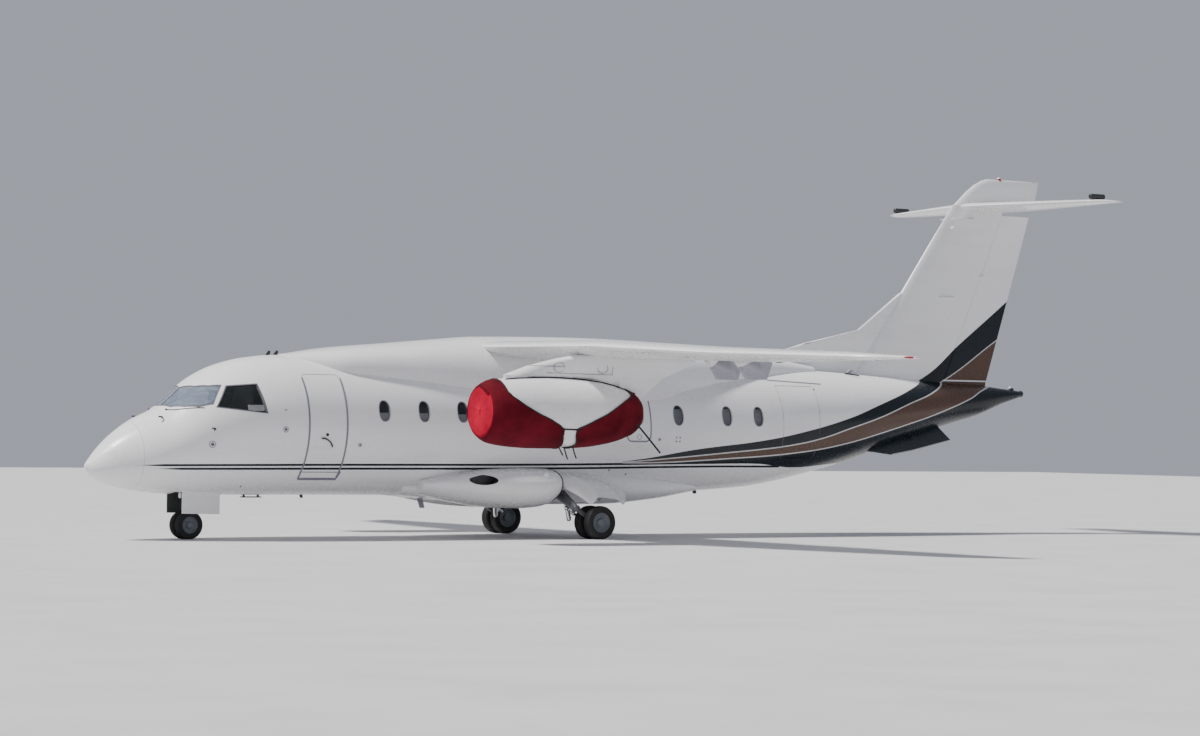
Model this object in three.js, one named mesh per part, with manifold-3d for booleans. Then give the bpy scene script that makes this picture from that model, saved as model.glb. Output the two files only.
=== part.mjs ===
// Twin-jet regional airliner with a high wing and a T-tail, parked on its gear.
// Millimetres. X runs aft along the fuselage, Y to starboard, Z up, ground at Z = 0.
import * as THREE from 'three';
import Module from 'manifold-3d';
import { mergeVertices } from 'three/addons/utils/BufferGeometryUtils.js';

const wasm = await Module();
wasm.setup();

// Driving dimensions
const OVERALL_LENGTH = 21280;
const NOSE_X = -OVERALL_LENGTH / 2;
const HALF_SPAN = 10490;
const OVERALL_HEIGHT = 7240;
const SEAT_GAP = 0.3;
const MOVE_GAP = 12;

const WING_HINGE_STATION = 9190;
const AILERON_HINGE_STATION = 9440;
const WING_TRAILING_STATION = 9790;
const FLAP_INNER = [1200, 3230];
const FLAP_OUTER = [3790, 6700];
const AILERON_SPAN = [6760, 9560];
const FAIRING = { spans: [5150, 6000], front: 9230, tail: 10080, bottom: 2890, width: 90 };

const ENGINE_Y = 3500;
const ENGINE_Z = 2290;

const NOSE_GEAR_STATION = 1930;
const NOSE_TYRE = { radius: 247.5, width: 145, spread: 107.5, axle: 20 };
const MAIN_GEAR_STATION = 9380;
const MAIN_TRACK = 3220;
const MAIN_TYRE = { radius: 305, width: 190, spread: 158, axle: 34 };
const AXLE_GAP = 0.7;

const DOOR = { front: 3690, aft: 4420, sill: 1080, head: 2900 };
const BAGGAGE = { front: 13960, aft: 14890, sill: 1500, head: 2880 };
const HOLD = { front: 13100, aft: 15060, tail: 19650, floor: 1480 };
const SKIN = 60;
const TAIL_SKIN = 35;
const FLOOR_Z = 1150;

const paint = (name, color, roughness, metalness) =>
  Object.assign(new THREE.MeshStandardMaterial({ color, roughness, metalness }), { name });
const white = paint('gloss_white', 0xf2f2f4, 0.25, 0);
const shade = paint('underside_grey', 0x8d8b92, 0.45, 0);
const dark = paint('dark_navy', 0x10191f, 0.3, 0);
const red = paint('cover_red', 0xb3152b, 0.85, 0);
const rubber = paint('tyre_black', 0x141414, 0.9, 0);
const steel = paint('bare_metal', 0x9fa3a8, 0.35, 1);
const glass = paint('cabin_glass', 0x26303a, 0.05, 0);
const interior = paint('cabin_grey', 0x4b4d52, 0.8, 0);

const root = new THREE.Group();
root.name = 'twin_jet_airliner';

// The group that new pieces go into, one for each part of the aircraft
let branch = root;
function startGroup() {
  branch = new THREE.Group();
  root.add(branch);
}

// Solid helpers
function toSolid(geometry) {
  const bare = geometry.index ? geometry.clone() : geometry;
  bare.deleteAttribute('normal');
  bare.deleteAttribute('uv');
  const merged = mergeVertices(bare, 1e-3);
  const mesh = new wasm.Mesh({
    numProp: 3,
    vertProperties: new Float32Array(merged.attributes.position.array),
    triVerts: new Uint32Array(merged.index.array),
  });
  return new wasm.Manifold(mesh);
}

function addPiece(name, material, solid, at = [0, 0, 0]) {
  const mesh = solid.getMesh();
  const geometry = new THREE.BufferGeometry();
  geometry.setAttribute('position', new THREE.BufferAttribute(mesh.vertProperties, 3));
  geometry.setIndex(new THREE.BufferAttribute(mesh.triVerts, 1));
  geometry.computeVertexNormals();
  const piece = new THREE.Mesh(geometry, material);
  piece.name = name;
  piece.position.set(...at);
  branch.add(piece);
}

// A closed skin over rings of equal length, with a fan over each end
function loft(rings) {
  const size = rings[0].length;
  const points = rings.flat();
  const faces = [];
  for (let i = 0; i + 1 < rings.length; i++) {
    for (let j = 0; j < size; j++) {
      const k = (j + 1) % size;
      const a = i * size + j;
      const b = i * size + k;
      faces.push(a, b, b + size, a, b + size, a + size);
    }
  }
  for (const [ring, flip] of [[0, true], [rings.length - 1, false]]) {
    const centre = [0, 1, 2].map((c) => rings[ring].reduce((sum, p) => sum + p[c], 0) / size);
    points.push(centre);
    for (let j = 0; j < size; j++) {
      const k = (j + 1) % size;
      const tip = points.length - 1;
      const pair = [ring * size + j, ring * size + k];
      faces.push(...(flip ? [pair[1], pair[0], tip] : [pair[0], pair[1], tip]));
    }
  }
  let volume = 0;
  for (let i = 0; i < faces.length; i += 3) {
    const [p, q, r] = [0, 1, 2].map((n) => new THREE.Vector3(...points[faces[i + n]]));
    volume += p.dot(q.cross(r));
  }
  if (volume < 0) faces.reverse();
  const geometry = new THREE.BufferGeometry();
  geometry.setAttribute('position', new THREE.Float32BufferAttribute(points.flat(), 3));
  geometry.setIndex(faces);
  return toSolid(geometry);
}

// Profile of [station, radius] turned about a line along X through (y, z)
function turned(profile, y, z, segments) {
  const lathe = new THREE.LatheGeometry(profile.map(([s, r]) => new THREE.Vector2(r, s)), segments);
  return outward(toSolid(lathe)).rotate([0, 0, -90]).translate([NOSE_X, y, z]);
}

function outward(solid) {
  if (solid.volume() > 0) return solid;
  const mesh = solid.getMesh();
  return new wasm.Manifold(new wasm.Mesh({
    numProp: 3,
    vertProperties: mesh.vertProperties,
    triVerts: mesh.triVerts.slice().reverse(),
  }));
}

const box = (x0, x1, y0, y1, z0, z1) =>
  toSolid(new THREE.BoxGeometry(x1 - x0, y1 - y0, z1 - z0))
    .translate([(x0 + x1) / 2, (y0 + y1) / 2, (z0 + z1) / 2]);

// A box given by stations from the nose instead of X
const bay = (s0, s1, y0, y1, z0, z1) => box(NOSE_X + s0, NOSE_X + s1, y0, y1, z0, z1);

// A round bar between two points, with its own radius at each end
function bar(from, to, radius, radiusTo = radius, segments = 16) {
  const start = new THREE.Vector3(...from);
  const end = new THREE.Vector3(...to);
  const length = start.distanceTo(end);
  const geometry = new THREE.CylinderGeometry(radiusTo, radius, length, segments);
  const turn = new THREE.Quaternion().setFromUnitVectors(
    new THREE.Vector3(0, 1, 0), end.clone().sub(start).normalize());
  geometry.applyQuaternion(turn);
  geometry.translate(...start.clone().add(end).multiplyScalar(0.5).toArray());
  return toSolid(geometry);
}

// A flat outline of [station, z] points, thick along Y about the plane y
function plate(outline, y, thickness) {
  const shape = new THREE.Shape(outline.map(([s, z]) => new THREE.Vector2(NOSE_X + s, z)));
  const geometry = new THREE.ExtrudeGeometry(shape, { depth: thickness, bevelEnabled: false });
  return outward(toSolid(geometry)).rotate([90, 0, 0]).translate([0, y + thickness / 2, 0]);
}

const largest = (solid) => solid.decompose().sort((a, b) => b.volume() - a.volume())[0];

const mirrored = (solid, side) => (side < 0 ? solid : outward(solid.mirror([0, 1, 0])));
const SIDES = [['left', -1], ['right', 1]];

// Fuselage sections
const BODY = [
  // station, bottom, top, half width, widest level
  [0, 1225, 1295, 30, 1260],
  [100, 1100, 1410, 170, 1250],
  [250, 1010, 1580, 310, 1280],
  [500, 920, 1810, 490, 1330],
  [900, 845, 2080, 710, 1420],
  [1330, 800, 2280, 880, 1550],
  [1550, 790, 2460, 945, 1640],
  [1760, 785, 2640, 1000, 1720],
  [2100, 780, 2880, 1080, 1830],
  [2500, 775, 3060, 1150, 1920],
  [3000, 770, 3180, 1200, 1980],
  [3600, 770, 3240, 1220, 2000],
  [4600, 770, 3245, 1220, 2000],
  [11500, 800, 3245, 1220, 2000],
  [12300, 830, 3245, 1218, 2015],
  [13000, 870, 3240, 1210, 2030],
  [13800, 930, 3240, 1190, 2060],
  [14400, 1020, 3230, 1155, 2105],
  [15000, 1140, 3220, 1100, 2160],
  [16100, 1390, 3180, 980, 2270],
  [16900, 1630, 3140, 860, 2380],
  [17900, 1900, 3085, 665, 2480],
  [18800, 2150, 3030, 470, 2590],
  [19700, 2380, 2990, 300, 2690],
  [20300, 2600, 2935, 175, 2775],
  [20780, 2745, 2890, 80, 2820],
  [20920, 2790, 2860, 35, 2825],
];
const BODY_POINTS = 36;

const bodyAt = (station) => rowAt(BODY, station);

function bodyRing(station, grow) {
  const [, bottom, top, half, level] = bodyAt(station);
  const ring = [];
  for (let i = 0; i < BODY_POINTS; i++) {
    const angle = (2 * Math.PI * i) / BODY_POINTS;
    const height = Math.sin(angle) > 0 ? top - level : level - bottom;
    const y = (half + grow) * Math.cos(angle);
    ring.push([NOSE_X + station, y, level + (height + grow) * Math.sin(angle)]);
  }
  return ring;
}

function bodyLoft(from, to, grow = 0) {
  const stations = BODY.map((row) => row[0]).filter((s) => s > from + 1 && s < to - 1);
  return loft([from, ...stations, to].map((s) => bodyRing(s, grow)));
}

// Inner skin, with a third of the outer skin's corners
function roomLoft(from, to, skin) {
  const stations = BODY.map((row) => row[0]).filter((s) => s > from + 1 && s < to - 1);
  return loft([from, ...stations, to].map((s) => bodyRing(s, -skin).filter((_, i) => i % 3 === 0)));
}

// Wing sections
const WING_TIP = HALF_SPAN - 40;
const WING = [
  // span, leading station, trailing station, leading level, trailing level, thickness
  [0, 7440, WING_TRAILING_STATION, 3468, 3300, 300],
  [4300, 7440, WING_TRAILING_STATION, 3436, 3262, 270],
  [7000, 8030, WING_TRAILING_STATION, 3310, 3195, 215],
  [9600, 8600, WING_TRAILING_STATION, 3245, 3200, 135],
  [WING_TIP, 9420, WING_TRAILING_STATION + 20, 3222, 3212, 46],
  [HALF_SPAN, 9600, WING_TRAILING_STATION + 20, 3220, 3214, 24],
];

// Chord fraction and share of the full thickness above and below the middle level
const AEROFOIL = [
  [0, 0, 0], [0.012, 0.17, 0.15], [0.05, 0.33, 0.28], [0.12, 0.47, 0.39], [0.25, 0.58, 0.42],
  [0.4, 0.58, 0.41], [0.55, 0.49, 0.36], [0.7, 0.35, 0.27], [0.85, 0.19, 0.15], [1, 0.03, 0.03],
];

// The same foil with no camber, for fins, tailplane and pylons
const EVEN_FOIL = AEROFOIL.map(([c, up, down]) => [c, (up + down) / 2, (up + down) / 2]);

function foilOutline(lead, trail, thickness, grow, foil = EVEN_FOIL) {
  const upper = foil.map(([c, up]) => [lead + c * (trail - lead), up * thickness + grow]);
  const lower = foil.slice(1).reverse().map(([c, , down]) =>
    [lead + c * (trail - lead), -down * thickness - grow]);
  upper[0] = [lead - grow * 2, 0];
  return [...upper, ...lower];
}

function wingLoft(grow = 0) {
  const port = WING.slice(1).reverse().map((row) => [-row[0], ...row.slice(1)]);
  return loft([...port, ...WING].map(([y, lead, trail, leadLevel, trailLevel, thickness]) =>
    foilOutline(lead, trail, thickness, grow, AEROFOIL).map(([s, z]) => {
      const level = leadLevel + ((trailLevel - leadLevel) * (s - lead)) / (trail - lead);
      return [NOSE_X + s, y, level + z];
    })));
}

// A table's row between its rows, found by its first column
function rowAt(table, first) {
  let i = 1;
  while (i < table.length - 1 && table[i][0] < first) i++;
  const t = (first - table[i - 1][0]) / (table[i][0] - table[i - 1][0]);
  return table[i].map((value, c) => table[i - 1][c] + (value - table[i - 1][c]) * t);
}
const wingRow = (span) => rowAt(WING, span);

// Height of the foil's upper or lower skin over its middle level at a chord fraction
function foilHeight(fraction, thickness, column) {
  let i = 1;
  while (i < AEROFOIL.length - 1 && AEROFOIL[i][0] < fraction) i++;
  const t = (fraction - AEROFOIL[i - 1][0]) / (AEROFOIL[i][0] - AEROFOIL[i - 1][0]);
  return (AEROFOIL[i - 1][column] + (AEROFOIL[i][column] - AEROFOIL[i - 1][column]) * t) * thickness;
}

// Nose bar of a control surface that turns about a hinge line inside its own thickness
function hingePoint(span, station) {
  const [, lead, trail, leadLevel, trailLevel, thickness] = wingRow(span);
  const fraction = (station - lead) / (trail - lead);
  const level = leadLevel + (trailLevel - leadLevel) * fraction;
  const up = foilHeight(fraction, thickness, 1);
  const down = foilHeight(fraction, thickness, 2);
  return { at: [NOSE_X + station, span, level + (up - down) / 2], radius: (up + down) / 2 };
}

// A pin along the line from a to b, running past both ends by the same length
function hingePin(a, b, past, radius) {
  const from = new THREE.Vector3(...a);
  const to = new THREE.Vector3(...b);
  const step = to.clone().sub(from).normalize().multiplyScalar(past);
  return bar(from.sub(step).toArray(), to.add(step).toArray(), radius, radius, 8);
}
const PIN = { past: 7.6, radius: 9 };

// Half the thickness of a foil without camber at a station
function evenHalf([, lead, trail, thickness], station) {
  const fraction = (station - lead) / (trail - lead);
  return (foilHeight(fraction, thickness, 1) + foilHeight(fraction, thickness, 2)) / 2;
}

// Fin and rudder
const FIN = [
  // level, leading station, trailing station, thickness
  [2900, 16320, 19900, 330],
  [3060, 16440, 19935, 325],
  [4800, 17700, 20500, 270],
  [6620, 19012, 21090, 200],
];
const FIN_TIP = [
  [6620, 19040, 21110, 198],
  [6735, 19170, 21170, 190],
  [6900, 19350, 21215, 175],
  [7050, 19560, 21255, 150],
  [7150, 19760, 21275, 110],
  [7190, 19900, 21280, 60],
];
const RUDDER_HINGE = [[18760, 3060], [20290, 6470]];

const finLoft = (rows, grow = 0) => loft(rows.map(([level, lead, trail, thickness]) =>
  foilOutline(lead, trail, thickness, grow).map(([s, y]) =>
    [NOSE_X + s, y, level])));

// Tailplane
const TAIL_LEVEL = 6600;
const TAIL = [
  // span, leading station, trailing station, thickness
  [0, 19150, 21080, 190],
  [3000, 19900, 20680, 82],
  [3250, 20010, 20640, 60],
  [3350, 20330, 20630, 24],
];
const ELEVATOR_STATION = 20400;
const ELEVATOR_SPAN = [340, 2960];

function tailLoft(grow = 0) {
  const port = TAIL.slice(1).reverse().map((row) => [-row[0], ...row.slice(1)]);
  return loft([...port, ...TAIL].map(([y, lead, trail, thickness]) =>
    foilOutline(lead, trail, thickness, grow).map(([s, z]) => [NOSE_X + s, y, TAIL_LEVEL + z])));
}

// Body, radome, tail cone
startGroup();
const RADOME_END = 800;
const CONE_START = 20000;
const wing = wingLoft();
const bodyCut = bodyLoft(0, 20920, SEAT_GAP);

const cabin = bodyLoft(1400, 4560, -SKIN).intersect(bay(1400, 4560, -2000, 2000, FLOOR_Z, 4000));
const bulkhead = bay(3330, 3390, -1200, 1200, FLOOR_Z, 3200)
  .subtract(bay(3300, 3420, -300, 300, FLOOR_Z, 2950));
const doorway = bay(DOOR.front, DOOR.aft, -1400, -500, DOOR.sill, DOOR.head);
// Baggage hold with its floor, and the empty tail behind its aft bulkhead
const holdRoom = roomLoft(HOLD.front, HOLD.aft, SKIN)
  .intersect(bay(HOLD.front, HOLD.aft, -2000, 2000, HOLD.floor, 4000));
const tailRoom = roomLoft(HOLD.aft + SKIN, HOLD.tail, TAIL_SKIN)
  .add(bay(HOLD.aft - 10, HOLD.aft + SKIN + 10, -300, 300, 1800, 2700));
const baggageWay = bay(BAGGAGE.front, BAGGAGE.aft, -1400, -700, BAGGAGE.sill, BAGGAGE.head);
const noseWell = bay(1560, 2480, -270, 270, 500, 1085);

// Cockpit panes: outlines seen from above or from the side, cut square through the skin
const WINDSHIELD = [
  [1385, -28], [1749, -28], [1856, -380], [2021, -596], [2190, -715],
  [1980, -868], [1759, -764], [1577, -584], [1432, -344],
];
const SIDE_PANE = [[2090, 2300], [2880, 2215], [2790, 2700], [2330, 2665]];

// The same outline with every edge moved inwards by a gap
function inset(outline, gap) {
  const points = outline.map(([a, b]) => new THREE.Vector2(a, b));
  const turn = THREE.ShapeUtils.isClockWise(points) ? -1 : 1;
  const inward = (from, to) => to.clone().sub(from).normalize()
    .rotateAround(new THREE.Vector2(), (turn * Math.PI) / 2);
  return points.map((point, i) => {
    const before = inward(points.at(i - 1), point);
    const after = inward(point, points[(i + 1) % points.length]);
    const shift = before.clone().add(after).multiplyScalar(gap / (1 + before.dot(after)));
    return point.clone().add(shift).toArray();
  });
}

const outlineSolid = (outline, depth) => outward(toSolid(new THREE.ExtrudeGeometry(
  new THREE.Shape(outline.map(([s, across]) => new THREE.Vector2(NOSE_X + s, across))),
  { depth, bevelEnabled: false })));
const downCut = (outline) => outlineSolid(outline, 1400).translate([0, 0, 2150]);
const sideCut = (outline) => outlineSolid(outline, 900).rotate([90, 0, 0]).translate([0, -560, 0]);

let fuselage = bodyLoft(RADOME_END + SEAT_GAP, CONE_START - SEAT_GAP).subtract(cabin.subtract(bulkhead))
  .subtract(doorway).subtract(holdRoom).subtract(tailRoom).subtract(baggageWay).subtract(noseWell);
const paneShell = bodyLoft(1000, 4000, -4).subtract(bodyLoft(1000, 4000, -24));
for (const [side, sign] of SIDES) {
  fuselage = fuselage.subtract(mirrored(downCut(WINDSHIELD), sign))
    .subtract(mirrored(sideCut(SIDE_PANE), sign));
  const front = mirrored(downCut(inset(WINDSHIELD, SEAT_GAP)), sign);
  const flank = mirrored(sideCut(inset(SIDE_PANE, SEAT_GAP)), sign);
  addPiece(`windshield_${side}`, glass, paneShell.intersect(front));
  addPiece(`side_window_${side}`, glass, paneShell.intersect(flank));
}
addPiece('fuselage', white, fuselage);
addPiece('radome', white, bodyLoft(0, RADOME_END));
addPiece('tail_cone', dark, bodyLoft(CONE_START, 20920));

// Passenger door with its steps, hinged along the sill
const DOOR_HINGE = { y: -830, z: 1116, radius: 10 };
const doorSkin = bodyLoft(3000, 5000).subtract(bodyLoft(3000, 5000, -SKIN));
const doorPanel = doorSkin.intersect(
  bay(DOOR.front + MOVE_GAP, DOOR.aft - MOVE_GAP, -1400, -500, DOOR.sill + MOVE_GAP, DOOR.head - MOVE_GAP));
const STEPS = [
  // level, inner y, outer y
  [1330, -700, -1000],
  [1620, -790, -1130],
  [1910, -840, -1190],
  [2200, -840, -1170],
];
let door = doorPanel;
for (const [level, inner, outer] of STEPS) {
  door = door.add(bay(DOOR.front + 90, DOOR.aft - 90, outer, inner, level, level + 40));
}
addPiece('passenger_door', white, door.add(bar([NOSE_X + DOOR.front + 0.4, DOOR_HINGE.y, DOOR_HINGE.z],
  [NOSE_X + DOOR.aft - 0.4, DOOR_HINGE.y, DOOR_HINGE.z], DOOR_HINGE.radius)));

// Baggage door, hinged along its head
const BAGGAGE_HINGE = { z: 2844, inset: 18, radius: 10 };
function bodyWidth(station, z) {
  const [, bottom, top, half, level] = bodyAt(station);
  const height = z > level ? top - level : level - bottom;
  return half * Math.sqrt(1 - ((z - level) / height) ** 2);
}
const baggageHinge = [BAGGAGE.front + 0.5, BAGGAGE.aft - 0.5].map((station) =>
  [NOSE_X + station, BAGGAGE_HINGE.inset - bodyWidth(station, BAGGAGE_HINGE.z), BAGGAGE_HINGE.z]);
addPiece('baggage_door', white, bodyLoft(13000, 16100).subtract(bodyLoft(13000, 16100, -SKIN))
  .intersect(bay(BAGGAGE.front + MOVE_GAP, BAGGAGE.aft - MOVE_GAP, -1400, -700,
    BAGGAGE.sill + MOVE_GAP, BAGGAGE.head - MOVE_GAP))
  .add(bar(...baggageHinge, BAGGAGE_HINGE.radius)));

// Flight deck
addPiece('instrument_panel', interior, bay(1640, 1980, -560, 560, FLOOR_Z + SEAT_GAP, 2180)
  .add(bay(1980, 2500, -130, 130, FLOOR_Z + SEAT_GAP, 1700))
  .intersect(bodyLoft(1400, 4560, -SKIN - 6)));
let seats = bay(2720, 2940, -600, 600, FLOOR_Z + SEAT_GAP, FLOOR_Z + 20);
for (const [, sign] of SIDES) {
  const seat = bay(2560, 3060, -700, -230, 1480, 1600)
    .add(bay(2980, 3100, -690, -240, 1480, 2260))
    .add(bay(2700, 2960, -600, -330, FLOOR_Z + SEAT_GAP, 1500));
  seats = seats.add(mirrored(seat, sign));
}
addPiece('pilot_seats', interior, seats);

// Fairing over the wing root
startGroup();
const HUMP = [
  // station, lower level, top, half width
  [3760, 3090, 3262, 330],
  [4700, 2950, 3400, 830],
  [5800, 2850, 3500, 950],
  [7000, 2730, 3610, 1050],
  [7700, 2640, 3668, 1100],
  [9800, 2500, 3700, 1150],
  [11000, 2560, 3680, 1140],
  [12000, 2800, 3640, 1010],
  [13000, 2960, 3570, 830],
  [14200, 3080, 3450, 560],
  [15400, 3160, 3290, 250],
];
const humpLoft = loft(HUMP.map(([station, low, top, half]) => {
  const ring = [];
  for (let i = 0; i <= 16; i++) {
    const angle = (Math.PI * i) / 16;
    const y = half * Math.sign(Math.cos(angle)) * Math.abs(Math.cos(angle)) ** 0.75;
    ring.push([NOSE_X + station, y, low + (top - low) * Math.sin(angle) ** 0.75]);
  }
  ring.push([NOSE_X + station, -half * 0.5, low - 200], [NOSE_X + station, half * 0.5, low - 200]);
  return ring;
}));
const wingCut = wingLoft(SEAT_GAP);
const hump = humpLoft.subtract(bodyCut).subtract(wingCut)
  .subtract(bay(8900, 9900, -3000, -1180, 3000, 3700)).subtract(bay(8900, 9900, 1180, 3000, 3000, 3700));
addPiece('wing_root_fairing', white, largest(hump));

// Wing, flaps, ailerons
startGroup();
// A flap turns about a line just inside its lower front corner
function flapHinge(y) {
  const skin = hingePoint(-y, WING_HINGE_STATION + 18);
  return [NOSE_X + WING_HINGE_STATION + 18, y, skin.at[2] - skin.radius + 18];
}
let wingFixed = wing;
for (const [side, sign] of SIDES) {
  for (const [label, [inner, outer]] of [['inner', FLAP_INNER], ['outer', FLAP_OUTER]]) {
    const room = mirrored(bay(WING_HINGE_STATION - MOVE_GAP, 10200, -outer - 8, -inner + 8, 3000, 3700), sign);
    wingFixed = wingFixed.subtract(room);
    const flapLine = [-inner, -outer].map((y) => flapHinge(y));
    let flap = wing.intersect(
      mirrored(bay(WING_HINGE_STATION, 10200, -outer, -inner, 3000, 3700), sign))
      .add(mirrored(hingePin(...flapLine, PIN.past, PIN.radius), sign));
    if (label === 'outer') {
      for (const span of FAIRING.spans) {
        const [, , trail, , trailLevel] = wingRow(span);
        const top = hingePoint(span, FAIRING.front).at[2];
        flap = flap.add(mirrored(plate([
          [FAIRING.front, top], [trail, trailLevel - 4], [FAIRING.tail, trailLevel - 30],
          [FAIRING.tail - 120, FAIRING.bottom], [FAIRING.front + 330, FAIRING.bottom],
          [FAIRING.front + 170, FAIRING.bottom + 210],
        ], -span, FAIRING.width), sign));
      }
    }
    addPiece(`flap_${label}_${side}`, white, flap);
  }
  const [inner, outer] = AILERON_SPAN;
  const near = hingePoint(inner, AILERON_HINGE_STATION);
  const far = hingePoint(outer, AILERON_HINGE_STATION);
  const cove = bar(near.at.with(1, -inner + 8), far.at.with(1, -outer - 8),
    near.radius + 9, far.radius + 9, 12);
  const room = cove.add(bay(AILERON_HINGE_STATION - 9, 10200, -outer - 8, -inner + 8, 3000, 3700));
  wingFixed = wingFixed.subtract(mirrored(room, sign));
  const noseBar = bar(near.at.with(1, -inner), far.at.with(1, -outer), near.radius, far.radius, 12);
  const aileron = wing.intersect(bay(AILERON_HINGE_STATION, 10200, -outer, -inner, 3000, 3700))
    .add(noseBar).add(hingePin(near.at.with(1, -inner), far.at.with(1, -outer), PIN.past, PIN.radius));
  addPiece(`aileron_${side}`, white, mirrored(aileron, sign));
}
addPiece('wing', white, wingFixed);

// Engines on pylons
startGroup();
const NACELLE = [
  // station, outer radius
  [5800, 455], [5850, 500], [6050, 552], [6450, 594], [7000, 610], [7800, 585], [8350, 506], [8800, 372],
];
const BORE = [[8800, 355], [8150, 500], [6700, 500], [6150, 405], [5830, 425]];
const TURN_STEPS = 24;
const COVER = { inside: 0.6, thickness: 9 };
const PYLON = [
  // level, leading station, trailing station, thickness
  [2560, 6200, 9080, 260],
  [2920, 6200, 9540, 290],
  [3080, 6650, 9950, 310],
  [3210, 7200, 10270, 320],
  [3330, 7850, 10100, 310],
  [3450, 8150, 9700, 280],
];
const pylonLoft = (grow) => loft(PYLON.map(([level, lead, trail, thickness]) =>
  foilOutline(lead, trail, thickness, grow).map(([s, y]) => [NOSE_X + s, y - ENGINE_Y, level])));

// Edges of the covers as [station, z] points in side view, from the top down
const COVER_FRONT_EDGE = [
  [6005, 3400], [6011, 2766], [6021, 2630], [6086, 2542], [6306, 2388], [6559, 2256], [6833, 2147],
  [7012, 2058], [7117, 1991], [7145, 1877], [7251, 1716], [7290, 1200],
];
const COVER_REAR_EDGE = [
  [8700, 3400], [8665, 2652], [8415, 2546], [8254, 2461], [7993, 2311], [7759, 2203], [7556, 2096],
  [7453, 2063], [7385, 2017], [7409, 1903], [7524, 1742], [7570, 1200],
];

// All the space aft of an edge
const aftOf = (edge) => plate([...edge, [13000, edge.at(-1)[1]], [13000, edge[0][1]]], -ENGINE_Y, 1600);

const nacelleShell = turned([...NACELLE, ...BORE, NACELLE[0]], -ENGINE_Y, ENGINE_Z, TURN_STEPS);
const offset = (grow) => NACELLE.map(([s, r]) => [s, r + grow]);
const frontCut = aftOf(COVER_FRONT_EDGE);
const rearCut = aftOf(COVER_REAR_EDGE);

for (const [side, sign] of SIDES) {
  addPiece(`nacelle_${side}`, white, mirrored(nacelleShell, sign));
  addPiece(`engine_${side}`, steel, mirrored(turned([
    [6500, 0], [6500, 240], [6850, 300], [6850, 499.6], [6990, 499.6], [6990, 350], [8000, 330],
    [8350, 240], [8350, 0],
  ], -ENGINE_Y, ENGINE_Z, TURN_STEPS), sign));
  const pylon = pylonLoft(0).subtract(turned([[5700, 0], ...offset(SEAT_GAP), [8810, 0]],
    -ENGINE_Y, ENGINE_Z, TURN_STEPS));
  addPiece(`pylon_${side}`, white, largest(mirrored(pylon, sign).subtract(wingCut)));
  const skin = COVER.inside + COVER.thickness;
  const front = turned([
    [5745, 0], [5745, 400], [5780, 462], ...offset(skin).slice(1, 6),
    ...offset(COVER.inside).slice(1, 6).reverse(), [5792, 455], [5757, 392], [5757, 0],
  ], -ENGINE_Y, ENGINE_Z, TURN_STEPS).subtract(frontCut);
  addPiece(`intake_cover_${side}`, red, mirrored(front, sign));
  const rear = turned([
    [8980, 0], [8980, 215], [8930, 290], ...offset(skin).slice(3, 8).reverse(),
    ...offset(COVER.inside).slice(3, 8), [8804, 376], [8918, 276], [8966, 205], [8966, 0],
  ], -ENGINE_Y, ENGINE_Z, TURN_STEPS).intersect(rearCut).subtract(pylonLoft(6));
  addPiece(`exhaust_cover_${side}`, red, mirrored(largest(rear), sign));
}

// Fin, dorsal fin, rudder
startGroup();
const [low, high] = RUDDER_HINGE;
const hingeAt = (level) => low[0] + ((high[0] - low[0]) * (level - low[1])) / (high[1] - low[1]);
const finWhole = finLoft(FIN);
function rudderRoom(gap, bottom) {
  const outline = [
    [hingeAt(bottom) - gap, bottom], [22500, bottom], [22500, 6600], [hingeAt(6600) - gap, 6600],
  ];
  const [nearRadius, farRadius] = [bottom, 6600].map((level) =>
    evenHalf(rowAt(FIN, level), hingeAt(level)) + gap);
  return plate(outline, 0, 800).add(
    bar([NOSE_X + hingeAt(bottom), 0, bottom], [NOSE_X + hingeAt(6600), 0, 6600], nearRadius, farRadius, 14));
}
const RUDDER_BOTTOM = 3085;
const RUDDER_FOOT_GAP = 28;
const rudder = finWhole.intersect(rudderRoom(0, RUDDER_BOTTOM))
  .intersect(box(-20000, 20000, -500, 500, RUDDER_BOTTOM, 6455));
const DORSAL = [
  [14700, 3000], [14700, 3560], [15320, 3740], [16150, 3920], [16630, 4030], [17700, 4800], [17750, 3000],
];
const humpCut = humpLoft.translate([0, 0, SEAT_GAP]);
const tailCut = tailLoft(SEAT_GAP);
const rudderPin = (drop, radius) => bar([NOSE_X + hingeAt(RUDDER_BOTTOM - drop), 0, RUDDER_BOTTOM - drop],
  [NOSE_X + hingeAt(RUDDER_BOTTOM + 60), 0, RUDDER_BOTTOM + 60], radius, radius, 24);
addPiece('fin', white, largest(finWhole.add(plate(DORSAL, 0, 80)).subtract(bodyCut).subtract(humpCut)
  .subtract(rudderRoom(10, RUDDER_BOTTOM - RUDDER_FOOT_GAP)).subtract(rudderPin(RUDDER_FOOT_GAP + 22, 14.5))
  .subtract(tailCut)));
addPiece('rudder', white, rudder.add(rudderPin(RUDDER_FOOT_GAP + 18, 14)));
addPiece('fin_tip', white, finLoft(FIN_TIP).subtract(tailCut)
  .add(bar([NOSE_X + 20230, 0, 7150], [NOSE_X + 20230, 0, OVERALL_HEIGHT], 45, 30)));

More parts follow.
